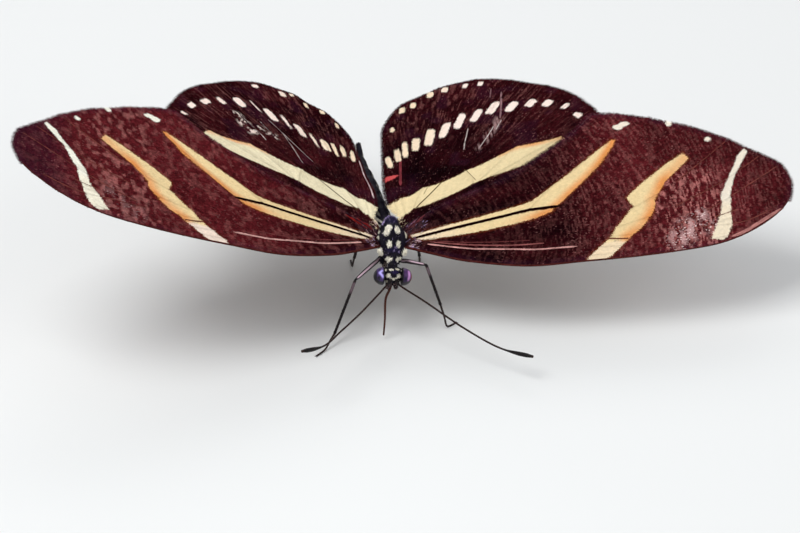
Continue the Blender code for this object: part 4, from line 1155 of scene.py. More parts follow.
# Pale marks: place and half size along forward, left and up.
THORAX_MARKS = [
    ((3.16, 0.74, 0.0), (0.26, 0.46, 0.8)), ((3.16, -0.54, 0.0), (0.24, 0.54, 0.8)),
    ((2.38, 1.38, 0.2), (0.42, 0.4, 0.5)), ((2.36, -1.4, 0.2), (0.42, 0.42, 0.5)),
    ((1.68, 0.6, 1.05), (0.36, 0.25, 0.5)), ((1.75, -0.38, 1.08), (0.36, 0.29, 0.5)),
    ((0.2, 0.52, 1.72), (0.6, 0.29, 0.5)), ((0.0, -0.45, 1.75), (0.48, 0.4, 0.5)),
    ((0.5, -0.7, 1.6), (0.4, 0.36, 0.5)),
    ((-0.35, -1.42, 1.1), (0.62, 0.19, 0.45)), ((0.85, -1.55, 0.95), (0.22, 0.2, 0.35)),
    ((0.1, 1.46, 1.15), (0.75, 0.13, 0.45)), ((1.0, 1.62, 0.95), (0.32, 0.15, 0.35)),
    ((-0.2, 1.35, -0.7), (0.5, 0.5, 0.35)), ((-0.2, -1.35, -0.7), (0.5, 0.5, 0.35)),
    ((1.3, 1.1, -0.9), (0.4, 0.5, 0.3)), ((1.3, -1.1, -0.9), (0.4, 0.5, 0.3)),
]
HEAD_MARKS = [
    ((-0.28, -0.84, 0.87), (0.2, 0.14, 0.4)), ((-0.19, -0.27, 1.05), (0.16, 0.26, 0.4)),
    ((-0.3, 0.42, 1.0), (0.16, 0.28, 0.4)), ((-0.24, 0.9, 0.86), (0.16, 0.14, 0.4)),
    ((0.45, -0.62, 0.83), (0.24, 0.3, 0.4)), ((0.45, 0.68, 0.79), (0.24, 0.3, 0.4)),
    ((0.78, 0.03, 0.7), (0.12, 0.18, 0.35)), ((0.66, -0.26, 0.75), (0.08, 0.14, 0.3)),
    ((0.66, 0.34, 0.73), (0.08, 0.14, 0.3)), ((0.85, 0.62, -0.3), (0.3, 0.14, 0.6)),
    ((0.85, -0.62, -0.3), (0.3, 0.14, 0.6)),
]
GREY_MARKS = [((2.29, 0.1, 0.71), (0.1, 0.16, 0.3)), ((2.3, 0.69, 0.57), (0.13, 0.14, 0.3)),
              ((2.0, 0.38, 0.8), (0.06, 0.2, 0.3))]
# How far forward the head starts, and how far back the abdomen starts.
HEAD_START = 3.62
ABDOMEN_START = -2.7
# A painted highlight: a lilac line along the top of the hump.
HUMP_HIGHLIGHT = [(-1.35, -0.85), (-1.8, -0.5), (-1.9, 0.05), (-1.75, 0.5)]
ABDOMEN_COURSE = [(0.0, 3.14, 0.12), (-0.15, 4.6, -0.5), (-0.6, 6.8, -0.88), (-1.2, 9.9, -0.98),
                  (-1.65, 13.6, -1.0), (-2.1, 17.6, -0.65), (-2.35, 21.2, 0.1)]


def mark_share(places, marks):
    """How far many points lie inside the marks, from 0 to 1."""
    share = np.zeros(len(places))
    noise = lattice_noise(places[:, 0] * 6.0, places[:, 1] * 6.0 + places[:, 2] * 3.0, 61)
    for middle, half in marks:
        gone = np.linalg.norm((places - np.array(middle)) / np.array(half), axis=1)
        np.maximum(share, smooth((1.08 + 0.25 * (noise - 0.5) - gone) / 0.16), out=share)
    return share


abdomen_line = BODY_PLACE + through(ABDOMEN_COURSE, 0.3)
abdomen_gone = path_lengths(abdomen_line)


def abdomen_share(world):
    """How far along the abdomen many points lie, and how high round it."""
    near = np.argmin(((world[:, None, 1:] - abdomen_line[None, :, 1:]) ** 2).sum(axis=2), axis=1)
    away = world - abdomen_line[near]
    return abdomen_gone[near], np.arctan2(away[:, 2], np.abs(away[:, 0]))


def body_tint(world, grain):
    """Colour of the body at many world places."""
    body = (world - BODY_PLACE) @ BODY_AXES.T
    head = (world - HEAD_PLACE) @ HEAD_AXES.T
    fine = lattice_noise(world[:, 0] * 5.0, world[:, 1] * 5.0 + world[:, 2] * 4.0, 71)
    ground = mix(BODY_BLACK, BODY_BLUE, 0.45 * fine)
    # Bluer hump, front and crown.
    for places, middle, half, blue in ((body, (-1.35, 0.0, 1.6), (0.7, 1.0, 0.8), 1.3),
                                       (body, (2.2, 0.0, 0.8), (0.35, 1.0, 0.8), 1.2),
                                       (head, (0.1, 0.1, 1.0), (0.3, 0.6, 0.5), 1.8)):
        near = smooth((1.0 - np.linalg.norm((places - middle) / half, axis=1)) / 0.5)
        ground = mix(ground, BODY_BLUE * blue, near)
    # Painted highlight along the top of the hump.
    highlight_gone = line_distance(body[:, 0], body[:, 1], HUMP_HIGHLIGHT)
    ground = mix(ground, LILAC * 1.2, smooth((0.15 - highlight_gone) / 0.06) * (body[:, 2] > 0.5) * 0.95)
    ground = mix(ground, LILAC * 0.8, mark_share(body, GREY_MARKS) * 0.7)
    on_head = body[:, 0] > HEAD_START
    marks = np.where(on_head, mark_share(head, HEAD_MARKS), mark_share(body, THORAX_MARKS))
    gone, turn = abdomen_share(world)
    stripe = smooth((0.24 - np.abs(turn - 0.08 + 0.05 * np.sin(gone * 3.0))) / 0.1)
    belly = smooth((0.2 - np.abs(turn + 1.05)) / 0.08)
    saddle = smooth((0.14 - np.abs(turn - 0.75)) / 0.06) * smooth(np.sin(gone * 2.8) * 2.0 - 1.0)
    lines = np.maximum(np.maximum(stripe, belly), saddle * 0.4)
    marks = np.where(body[:, 0] < ABDOMEN_START, lines * 0.85, marks)
    colour = mix(ground, BODY_WHITE * (0.85 + 0.2 * fine)[:, None], marks)
    sparse = (grain > 0.98) & (body[:, 0] > ABDOMEN_START)
    return mix(colour, LILAC, sparse * 0.45)


SKIN_VOXEL = 0.075


def make_skin():
    """One skin over head, neck, thorax, waist and abdomen: points, normals and triangles."""
    shape = bmesh.new()
    for node in ("thorax", "abdomen", "head"):
        shape.from_mesh(nodes[node].data)
    bmesh.ops.scale(shape, vec=(1000.0, 1000.0, 1000.0), verts=shape.verts)
    extras = []
    neck = [from_head(-0.2, 0.0, 0.1), from_body(3.3, 0.0, -0.35), from_body(2.5, 0.0, -0.35)]
    waist = [from_body(-2.0, 0.0, 0.0), BODY_PLACE + np.array((0.0, 3.1, 0.12)),
             BODY_PLACE + np.array((-0.12, 4.3, -0.4))]
    for course, radius in ((neck, 0.62), (waist, 0.72)):
        path = through(course, 0.2)
        extras.append(tube(path, np.full(len(path), radius), 16))
    for turn in (1.0, -1.0):
        extras.append(ellipsoid(from_body(2.15, 1.18 * turn, 0.28), (0.42, 0.42, 0.42), BODY_AXES))
        extras.append(ellipsoid(from_body(0.55, 1.28 * turn, 0.95), (0.85, 0.35, 0.4), BODY_AXES))
        extras.append(ellipsoid(from_head(0.75, 0.42 * turn, 0.35), (0.3, 0.24, 0.24), HEAD_AXES))
        extras.append(ellipsoid(from_head(0.55, 0.45 * turn, -1.0), (0.5, 0.3, 0.35), HEAD_AXES))
        for f, l, u in ((1.3, 0.75, -1.9), (0.3, 0.75, -2.1), (-1.2, 0.7, -1.7)):
            extras.append(ellipsoid(from_body(f, l * turn, u), (0.45, 0.42, 0.5), BODY_AXES))
    extras.append(ellipsoid(from_head(0.2, 0.0, -1.25), (0.55, 0.45, 0.4), HEAD_AXES))
    extras.append(ellipsoid(from_body(-1.4, 0.0, 1.25), (0.75, 0.8, 0.62), BODY_AXES))
    extras.append(ellipsoid(from_head(-0.03, 0.0, 0.0), (0.93, 1.4, 1.06), HEAD_AXES))
    mesh = bpy.data.meshes.new("skin_parts")
    shape.to_mesh(mesh)
    shape.free()
    points = [tuple(v.co) for v in mesh.vertices]
    faces = [tuple(p.vertices) for p in mesh.polygons]
    for part_points, part_triangles in extras:
        start = len(points)
        points += [tuple(p) for p in part_points]
        faces += [tuple(int(i) + start for i in t) for t in part_triangles]
    bpy.data.meshes.remove(mesh)
    mesh = bpy.data.meshes.new("skin_parts")
    mesh.from_pydata(points, [], faces)
    rough = bpy.data.objects.new("skin_parts", mesh)
    bpy.context.scene.collection.objects.link(rough)
    remesh = rough.modifiers.new("remesh", "REMESH")
    remesh.mode = "VOXEL"
    remesh.voxel_size = SKIN_VOXEL
    ease = rough.modifiers.new("ease", "SMOOTH")
    ease.factor = 0.5
    ease.iterations = 7
    graph = bpy.context.evaluated_depsgraph_get()
    made = bpy.data.meshes.new_from_object(rough.evaluated_get(graph), depsgraph=graph)
    bpy.data.objects.remove(rough)
    shape = bmesh.new()
    shape.from_mesh(made)
    bmesh.ops.triangulate(shape, faces=shape.faces)
    shape.to_mesh(made)
    shape.free()
    count = len(made.vertices)
    points = np.zeros(count * 3, np.float32)
    made.vertices.foreach_get("co", points)
    normals = np.zeros(count * 3, np.float32)
    made.vertex_normals.foreach_get("vector", normals)
    triangles = np.zeros(len(made.polygons) * 3, np.int32)
    made.polygons.foreach_get("vertices", triangles)
    return (points.reshape(-1, 3).astype(float), normals.reshape(-1, 3).astype(float),
            triangles.reshape(-1, 3))


def body_chart(world):
    """Flat place of a body point: round the body across, along it upward."""
    gone = world[:, 1] - BODY_PLACE[1]
    sink = np.interp(gone, (-6.5, -2.5, 2.5, 4.6, 6.8, 17.6, 21.2),
                     (-1.4, 0.0, 0.0, -0.5, -0.88, -0.65, 0.1))
    aside = np.interp(gone, (3.1, 6.8, 9.9, 13.6, 17.6, 21.2),
                      (0.0, -0.6, -1.2, -1.65, -2.1, -2.35))
    away = world - BODY_PLACE
    turn = np.arctan2(away[:, 2] - sink, away[:, 0] - aside) / (2.0 * math.pi) + 0.5
    return np.stack([0.03 + 0.94 * turn, 0.03 + 0.94 * (gone + 7.0) / 30.0], axis=-1)


# The skin lies this far inside the solids, under the hair.
HAIR_DEPTH = 0.1
skin_points, skin_normals, skin_triangles = make_skin()
skin_points = skin_points - skin_normals * HAIR_DEPTH
skin_tint = body_tint(skin_points, np.full(len(skin_points), 0.5)) * 0.8
skin = make_piece("body_skin", skin_points, skin_triangles, SKIN_LOOK, skin_tint,
                  body_chart(skin_points))
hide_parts("thorax", "abdomen", "head")


BLADE_TRIANGLES = np.array([(0, 1, 3), (0, 3, 2), (2, 3, 4)])
BLADE_PATCH = np.array([(-0.0015, -0.0015), (0.0015, -0.0015), (-0.0012, 0.0), (0.0012, 0.0),
                        (0.0, 0.0015)])
HAIR_DENSITY = 170.0


def blades(root, normal, lie, long, wide, rise):
    """Points and triangles of flat hairs that lie along a way and lift off the surface."""
    across = np.cross(normal, lie)
    rows = []
    for gone, share in ((0.0, 1.0), (0.55, 0.85), (1.0, 0.0)):
        spine = (root + lie * (long * gone)[:, None]
                 + normal * (long * rise * (gone - 0.35 * gone * gone) + 0.004)[:, None])
        if share:
            rows.append(spine - across * (wide * share * 0.5)[:, None])
            rows.append(spine + across * (wide * share * 0.5)[:, None])
        else:
            rows.append(spine)
    return np.stack(rows, axis=1).reshape(-1, 3), repeated(BLADE_TRIANGLES, len(root), 5)


def make_hair():
    """Short hair over the whole body, lying back from the head, longest on the sides and behind."""
    draw = np.random.default_rng(BODY_HAIR_SEED)
    corners = skin_points[skin_triangles]
    spread = np.cross(corners[:, 1] - corners[:, 0], corners[:, 2] - corners[:, 0])
    area = np.linalg.norm(spread, axis=1) / 2.0
    total = int(area.sum() * HAIR_DENSITY)
    chosen = draw.choice(len(area), total, p=area / area.sum())
    a = draw.random(total)
    b = draw.random(total)
    flip = a + b > 1.0
    a[flip] = 1.0 - a[flip]
    b[flip] = 1.0 - b[flip]
    base = corners[chosen]
    root = (base[:, 0] + (base[:, 1] - base[:, 0]) * a[:, None]
            + (base[:, 2] - base[:, 0]) * b[:, None])
    normal = unit_rows(skin_normals[skin_triangles[chosen]].mean(axis=1))
    body = (root - BODY_PLACE) @ BODY_AXES.T
    on_head = body[:, 0] > HEAD_START
    lie = np.where(on_head[:, None], HEAD_AXES[0] * 0.6 + HEAD_AXES[2] * 0.5, -BODY_AXES[0])
    lie = lie + np.where(body[:, 2:] < -0.8, np.array((0.0, 0.3, -0.3)), 0.0)
    lie = lie + draw.normal(0.0, 0.3, (total, 3))
    lie = unit_rows(lie - normal * np.sum(lie * normal, axis=1, keepdims=True))
    grain = draw.random(total)
    tint = body_tint(root, grain)
    bright = tint.mean(axis=1) > 0.25
    long = np.where(on_head, 0.2, 0.26)
    side = smooth((np.abs(body[:, 1]) - 0.9) / 0.5) * (body[:, 0] > -2.6) * (body[:, 0] < 2.5)
    long = long + 0.2 * side * (body[:, 2] < 1.0)
    long = long + 0.16 * smooth((-body[:, 0] - 0.9) / 0.8) * (body[:, 0] > -3.2)
    long = np.where(bright, long * 0.8, long) * draw.uniform(0.7, 1.25, total)
    rise = np.where(bright, 0.5, 0.32) * draw.uniform(0.5, 1.5, total)
    wide = np.where(bright, 0.06, 0.042) * draw.uniform(0.8, 1.2, total)
    points, triangles = blades(root, normal, lie, long, wide, rise)
    tint = tint * draw.uniform(0.75, 1.3, total)[:, None]
    return make_piece("body_hair", points, triangles, HAIR_LOOK,
                      np.repeat(tint, 5, axis=0), patch_chart(body_chart(root), BLADE_PATCH))


make_hair()

DARK_HAIR = linear(34, 16, 30)
BROWN_HAIR = linear(92, 44, 48)
CREAM_HAIR = linear(226, 204, 168)
PINK_HAIR = linear(214, 176, 178)
# Lilac and pink hairs among the dark ones, and the pale patches, are pale hair and painted highlights
# on the wing roots.
DARK_MIX = (DARK_HAIR, LILAC, PINK_HAIR)
PALE_HAIR_AND_HIGHLIGHT = (PINK_HAIR, LILAC)
# Hair over the wing roots: middle and half size of each patch, count, length, colours and shares.
ROOT_HAIR = {
    "forewing_left": [
        ((0.8, -1.6), (1.5, 1.1), 300, 0.45, (DARK_HAIR, LILAC, BROWN_HAIR), (0.66, 0.08, 0.26)),
        ((0.4, 0.5), (0.8, 0.8), 160, 0.38, DARK_MIX, (0.68, 0.12, 0.2)),
        ((0.2, 0.62), (0.25, 0.3), 70, 0.25, PALE_HAIR_AND_HIGHLIGHT, (0.7, 0.3)),
        ((1.1, 0.44), (0.12, 0.3), 30, 0.2, PALE_HAIR_AND_HIGHLIGHT, (0.7, 0.3))],
    "forewing_right": [
        ((0.8, -1.6), (1.4, 1.1), 280, 0.42, (DARK_HAIR, BROWN_HAIR, PINK_HAIR),
         (0.66, 0.28, 0.06)),
        ((0.4, 0.5), (0.8, 0.8), 160, 0.38, DARK_MIX, (0.66, 0.12, 0.22)),
        ((0.45, 0.7), (0.25, 0.35), 70, 0.25, PALE_HAIR_AND_HIGHLIGHT, (0.7, 0.3)),
        ((0.3, -0.45), (0.2, 0.2), 40, 0.2, PALE_HAIR_AND_HIGHLIGHT, (0.8, 0.2))],
    "hindwing_left": [((-0.3, -1.5), (0.6, 0.9), 90, 0.35, (CREAM_HAIR, BROWN_HAIR), (0.7, 0.3))],
    "hindwing_right": [((-0.3, -1.5), (0.6, 0.9), 90, 0.38, (CREAM_HAIR, PINK_HAIR), (0.7, 0.3))],
}


def make_root_hair(name, wing, kind, patches, seed):
    """Long hair over a wing's root, lying outward and back."""
    draw = np.random.default_rng(seed)
    parts = []
    charts = []
    for middle, half, count, length, colours, shares in patches:
        angle = draw.uniform(0.0, 2.0 * math.pi, count)
        gone = np.sqrt(draw.random(count))
        s = middle[0] + half[0] * gone * np.cos(angle)
        q = middle[1] + half[1] * gone * np.sin(angle)
        kept = inside(s, q, kind.outline)
        s = s[kept]
        q = q[kept]
        place, outward, ahead, normal = wing_frame(wing, s, q)
        place = place + normal * (kind.relief(s, q) + 0.04)[:, None]
        turn = np.arctan2(q - 0.5, s + 1.5) * 0.7 + draw.normal(0.0, 0.3, len(s))
        lie = outward * np.cos(turn)[:, None] + ahead * np.sin(turn)[:, None]
        long = length * draw.uniform(0.5, 1.3, len(s))
        wide = draw.uniform(0.035, 0.065, len(s))
        rise = draw.uniform(0.05, 0.35, len(s))
        points, triangles = blades(place, normal, lie, long, wide, rise)
        pick = draw.choice(len(colours), len(s), p=shares)
        tint = np.array(colours)[pick] * draw.uniform(0.75, 1.15, len(s))[:, None]
        parts.append((points, triangles, np.repeat(tint, 5, axis=0)))
        charts.append(patch_chart(kind.chart(s, q), BLADE_PATCH))
    points, triangles, tint = joined(parts)
    return make_piece(name, points, triangles, HAIR_LOOK, tint, np.vstack(charts))


def make_rim(name, wing):
    """The thick front rib of a fore wing."""
    flat = through([(-0.7, 0.6), (0.15, 0.95)] + FORE_COSTA, 0.2)
    path = wing_middle(wing, flat[:, 0], flat[:, 1])
    share = np.linspace(0.0, 1.0, len(path))
    radii = 0.15 * (1.0 - 0.65 * share)
    sides = 10
    points, triangles = tube(path, radii, sides, flatten=0.9)
    spread = lattice_noise(np.repeat(flat[:, 0], sides) * 3.0,
                           np.tile(np.arange(sides), len(path)) * 1.0, 90)
    tint = mix(linear(44, 16, 14), linear(98, 48, 44), spread * 0.8)
    tint = np.vstack([tint, np.broadcast_to(linear(44, 16, 14), (2, 3))])
    return make_piece(name, points, triangles, WING_LOOK, tint,
                      tube_chart(len(path), sides, share))


# An eye's place and half sizes in the head's directions, and where its painted gleams lie.
EYE_FORWARD = 0.18
EYE_HALF_DEPTH = 0.92
EYE_HALF_HEIGHT = 1.12
EYE_INNER = HEAD_HALF_WIDTH + 0.31
EYE_OUTER = 2.05
EYE_DOME = EYE_OUTER - EYE_INNER
EYE_GLEAM_AHEAD = 0.32
EYE_GLEAM_RIGHT = [(0.23, -0.45), (0.47, -0.24), (0.1, 0.2)]
EYE_GLEAM_LEFT = [(0.62, -0.55), (0.65, 0.0), (0.6, 0.4)]


def make_eye(node, turn):
    """A domed compound eye, dark, with its upper side painted lighter and lilac and painted lilac
    gleams on it.
    """
    sides = 48
    levels = 30
    angle = round_angles(sides)
    flat = []
    for level in range(levels):
        turn_up = -0.9 + (0.9 + 0.5 * math.pi) * level / levels
        out = EYE_DOME if turn_up > 0.0 else 0.2
        round_share = math.cos(turn_up) ** 0.9
        flat += [(EYE_FORWARD + EYE_HALF_DEPTH * round_share * math.cos(a),
                  turn * (EYE_INNER + out * math.sin(turn_up)),
                  EYE_HALF_HEIGHT * round_share * math.sin(a)) for a in angle]
    flat += [(EYE_FORWARD, turn * EYE_OUTER, 0.0), (EYE_FORWARD, turn * (EYE_INNER - 0.16), 0.0)]
    flat = np.array(flat)
    points = HEAD_PLACE + flat @ HEAD_AXES
    triangles = ring_triangles(levels, sides)
    base = (levels - 1) * sides
    top = len(flat) - 2
    for k in range(sides):
        triangles.append((base + k, base + (k + 1) % sides, top))
        triangles.append(((k + 1) % sides, k, top + 1))
    triangles = np.array(triangles)
    if turn < 0:
        triangles = triangles[:, ::-1]
    away = np.maximum((np.abs(flat[:, 1]) - EYE_INNER) / EYE_DOME, 0.0)
    normal = np.stack([(flat[:, 0] - EYE_FORWARD) / EYE_HALF_DEPTH, away * 0.9,
                       flat[:, 2] / EYE_HALF_HEIGHT], axis=-1)
    normal /= np.maximum(np.linalg.norm(normal, axis=1, keepdims=True), 1e-6)
    # Painted highlight: the side that faces up is painted lighter and lilac, as if lit from above.
    seen = normal[:, 0] * 0.09 + normal[:, 2] * 0.99
    centre = smooth((seen - 0.35) / 0.3) * smooth((away - 0.02) / 0.1)
    ahead = flat[:, 0] - EYE_FORWARD - EYE_GLEAM_AHEAD

    def lobe(place_away, place_ahead, radius):
        """A soft round spot on the eye's upper side."""
        return smooth(1.3 - np.hypot(away - place_away, ahead - place_ahead) / radius) * centre

    if turn < 0:
        gleam = smooth((0.17 - line_distance(away, ahead, EYE_GLEAM_RIGHT)) / 0.13) * centre
        tint = mix(linear(8, 6, 16), linear(70, 50, 100), centre)
        shadow = np.maximum(lobe(0.54, 0.24, 0.2), lobe(0.44, -0.6, 0.16))
        tint = mix(tint, linear(12, 6, 22), shadow)
        tint = mix(tint, linear(10, 6, 60), lobe(0.12, -0.18, 0.14))
        tint = mix(tint, linear(176, 164, 236), gleam * 0.9)
        tint = mix(tint, linear(9, 6, 14), smooth((away - 0.64) / 0.14))
    else:
        gleam = smooth((0.2 - line_distance(away, ahead, EYE_GLEAM_LEFT)) / 0.15) * centre
        tint = mix(linear(10, 5, 14), linear(62, 34, 80), centre)
        tint = mix(tint, linear(18, 8, 48), lobe(0.26, 0.3, 0.22))
        tint = mix(tint, linear(112, 84, 150), lobe(0.4, 0.66, 0.2) * 0.8)
        tint = mix(tint, linear(196, 140, 200), gleam * 0.9)
        outer_rim = smooth((away - 0.78) / 0.1) * smooth((seen + 0.1) / 0.3)
        tint = mix(tint, linear(112, 52, 62), outer_rim)
    piece = make_piece(node + "_dome", points, triangles, EYE_LOOK, tint,
                       np.stack([0.5 + flat[:, 0] * 0.4, 0.5 + flat[:, 2] * 0.4], axis=-1))
    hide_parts(node)


make_eye("eye_left", 1.0)
make_eye("eye_right", -1.0)

FEELER_BASE = (0.92, 0.42, 0.38)
FEELER_LEFT = [(0.0, 0.0, 0.0), (0.3, -0.62, -0.2), (3.02, -1.62, -1.78), (6.72, -4.32, -3.38),
               (10.42, -6.97, -4.43), (13.72, -9.37, -4.18)]
FEELER_RIGHT = [(0.0, 0.0, 0.0), (-0.3, -0.66, -0.1), (-3.12, -4.67, -0.83), (-5.62, -8.67, -0.83),
                (-7.52, -11.77, -0.63), (-9.92, -14.37, 0.37)]


def make_feeler(node, turn, course):
    """A slim ringed feeler with a club, rising from a bulb on the head."""
    base = from_head(FEELER_BASE[0], FEELER_BASE[1] * turn, FEELER_BASE[2])
    path = base + through(course, 0.1)
    path, gone = even_path(path, 0.055)
    t = gone / gone[-1]
    club = smooth((t - 0.8) / 0.12) * (1.0 - 0.6 * smooth((t - 0.95) / 0.05))
    bulb = np.exp(-((gone - 0.1) / 0.2) ** 2) + 0.45 * np.exp(-((gone - 0.5) / 0.13) ** 2)
    ring = np.abs(np.sin(gone * math.pi / 0.33)) ** 0.35
    radii = (0.105 + 0.13 * club + 0.12 * bulb) * (0.9 + 0.1 * ring)
    sides = 12
    points, triangles = tube(path, radii, sides)
    share = ring_values(t, sides, (0.0, 1.0))
    ring_share = ring_values(ring, sides, (1.0, 1.0))
    tint = mix(linear(36, 13, 10), linear(14, 8, 9), smooth((share - 0.75) / 0.1))
    tint = mix(tint, linear(60, 34, 26), 0.5 * smooth((share - 0.985) / 0.015))
    tint = mix(linear(16, 7, 9), tint, smooth((share * gone[-1] - 0.5) / 0.5))
    tint = mix(tint * 0.6, tint, ring_share)
    around = np.concatenate([np.tile(np.arange(sides) / sides, len(t)), [0.5, 0.5]])
    chart = np.stack([0.05 + 0.9 * share, around], axis=-1)
    piece = make_piece(node + "_rings", points, triangles, HORN_LOOK, tint, chart)
    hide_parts(node)


make_feeler("antenna_left", 1.0, FEELER_LEFT)
make_feeler("antenna_right", -1.0, FEELER_RIGHT)

PALP_COURSE = [(0.6, 0.48, -1.2), (0.85, 0.48, -1.25), (0.95, 0.44, -0.9), (1.02, 0.36, -0.5),
               (0.98, 0.3, -0.1)]


def blades_on_tube(path, gone, radii, count, long, wide, lie_share, tint_rule, seed):
    """Flat hairs on a tube, pointing along it."""
    draw = np.random.default_rng(seed)
    way = path_way(path)
    pick = draw.uniform(0.0, gone[-1] * 0.97, count)
    centre = np.stack([np.interp(pick, gone, path[:, k]) for k in range(3)], axis=-1)
    along = np.stack([np.interp(pick, gone, way[:, k]) for k in range(3)], axis=-1)
    radius = np.interp(pick, gone, radii)
    angle = draw.uniform(0.0, 2.0 * math.pi, count)
    guess = np.array((1.0, 0.0, 0.0)) if abs(way[0][0]) < 0.8 else np.array((0.0, 0.0, 1.0))
    side = unit_rows(np.cross(along, guess))
    other = np.cross(along, side)
    normal = side * np.cos(angle)[:, None] + other * np.sin(angle)[:, None]
    root = centre + normal * (radius * 0.92)[:, None]
    reach = long * draw.uniform(0.6, 1.3, count)
    lie = unit_rows(along * lie_share + normal * (1.0 - lie_share)
                    + draw.normal(0.0, 0.12, (count, 3)))
    across = np.cross(normal, along)
    half = wide * draw.uniform(0.7, 1.2, count) * 0.5
    middle = root + lie * (reach * 0.55)[:, None]
    tip = root + lie * reach[:, None] + along * (reach * 0.15)[:, None]
    aside = across * half[:, None]
    points = np.stack([root - aside, root + aside, middle - aside * 0.8, middle + aside * 0.8, tip],
                      axis=1).reshape(-1, 3)
    tint = tint_rule(pick / gone[-1], draw.random(count))
    centre = np.stack([0.05 + 0.9 * pick / gone[-1], 0.05 + 0.9 * angle / (2.0 * math.pi)], axis=-1)
    return (points, repeated(BLADE_TRIANGLES, count, 5), np.repeat(tint, 5, axis=0),
            patch_chart(centre, BLADE_PATCH))


for number, (node, wing, kind, net, tint_rule, slot) in enumerate(WINGS):
    make_root_hair(node + "_root_hair", wing, kind, ROOT_HAIR[node],
                   ROOT_HAIR_SEED + number)
    if kind is FORE:
        make_rim(node + "_rim", wing)


def palp_tint(share, grain):
    """Palp hairs: pinkish white, with brown among them."""
    colour = mix(linear(222, 190, 192), linear(24, 10, 16), smooth((grain - 0.3) / 0.15))
    return mix(colour, linear(30, 14, 22), smooth((share - 0.8) / 0.2) * 0.6)


def flecked(dark, light, above, strength):
    """A rule for the colours of hair, most of it dark and some of it lighter."""
    return lambda share, grain: mix(dark, light, (grain > above) * strength)


def make_palp(node, turn):
    """A short palp with upright hairs."""
    path = np.array([from_head(f, l * turn, u) for f, l, u in through(PALP_COURSE, 0.1)])
    path, gone = even_path(path, 0.06)
    t = gone / gone[-1]
    swell = 0.75 + 0.35 * np.sin(math.pi * np.clip(t * 1.05, 0.0, 1.0))
    radii = 0.2 * swell * (1.0 - 0.45 * smooth((t - 0.75) / 0.25))
    sides = 14
    points, triangles = tube(path, radii, sides)
    tint = np.broadcast_to(linear(26, 12, 16), points.shape)
    piece = make_piece(node + "_core", points, triangles, SKIN_LOOK, tint,
                       tube_chart(len(t), sides, t))
    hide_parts(node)
    hair = blades_on_tube(path, gone, radii, 900, 0.2, 0.045, 0.8, palp_tint,
                          PALP_SEED + int(turn))
    make_piece(node + "_hair", hair[0], hair[1], HAIR_LOOK, hair[2], hair[3])


make_palp("palp_left", 1.0)
make_palp("palp_right", -1.0)

TONGUE_COURSE = [(0.2, 0.05, -1.3), (0.3, 0.05, -1.62), (0.75, -0.1, -2.25), (1.4, -0.4, -3.3)]


def make_tongue():
    """The tongue: two half tubes side by side, ringed, tapering to the tip."""
    course = [from_head(*place) for place in TONGUE_COURSE]
    knee = course[-1]
    tip = knee + np.array((-0.3, -1.4, 0.0))
    tip[2] = 0.5
    course += [(knee + tip) / 2.0 + np.array((0.0, -0.5, 0.0)), tip]
    path, gone = even_path(through(course, 0.1), 0.05)
    t = gone / gone[-1]
    ring = np.abs(np.sin(gone * math.pi / 0.14)) ** 0.5
    radii = (0.17 - 0.07 * t) * (0.92 + 0.08 * ring)
    sides = 14
    points, triangles = tube(path, radii, sides, flatten=0.8)
    angle = np.tile(round_angles(sides), len(t))
    centre = np.repeat(path, sides, axis=0)
    groove = 1.0 - 0.16 * np.exp(-(np.sin(angle) / 0.35) ** 2)
    points[:-2] = centre + (points[:-2] - centre) * groove[:, None]
    tint = mix(linear(34, 12, 8), linear(70, 28, 15), ring_values(ring, sides, (1.0, 1.0)))
    piece = make_piece("proboscis_rings", points, triangles, HORN_LOOK, tint,
                       tube_chart(len(t), sides, t))
    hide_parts("proboscis")


make_tongue()

# Hip, knee, ankle and foot of each walking leg, from the middle of the thorax.
LEGS = {
    "midleg_left": [(0.95, -0.3, -2.3), (3.5, -4.04, -0.85), (5.08, -3.53, -6.11),
                    (6.95, -1.9, -9.5)],
    "midleg_right": [(-1.25, -0.22, -2.12), (-4.05, -4.25, -2.3), (-6.35, -5.6, -8.0),
                     (-8.4, -7.9, -9.5)],
    "hindleg_left": [(0.75, 1.5, -1.95), (3.0, 4.9, -2.2), (3.6, 8.2, -6.8), (3.9, 12.0, -9.5)],
    "hindleg_right": [(-0.85, 1.5, -1.9), (-3.0, 4.9, -2.1), (-3.5, 8.2, -6.8), (-3.7, 12.0, -9.5)],
}
TARSUS_RADIUS = 0.11
SHIN_RADIUS = 0.15
SHIN_THORNS = 18
# The direction that the pale stripe of a thigh faces.
STRIPE_WAY = np.array((0.0, -0.8, 0.6))


def cone(base, tip, radius):
    """Points and triangles of a thin thorn."""
    sides = 5
    way = unit(tip - base)
    side = unit(np.cross(way, (0.3, 0.2, 0.9)))
    other = np.cross(way, side)
    angle = round_angles(sides)
    ring = base + radius * (np.cos(angle)[:, None] * side + np.sin(angle)[:, None] * other)
    triangles = [(k, (k + 1) % sides, sides) for k in range(sides)]
    return np.vstack([ring, tip[None]]), np.array(triangles)


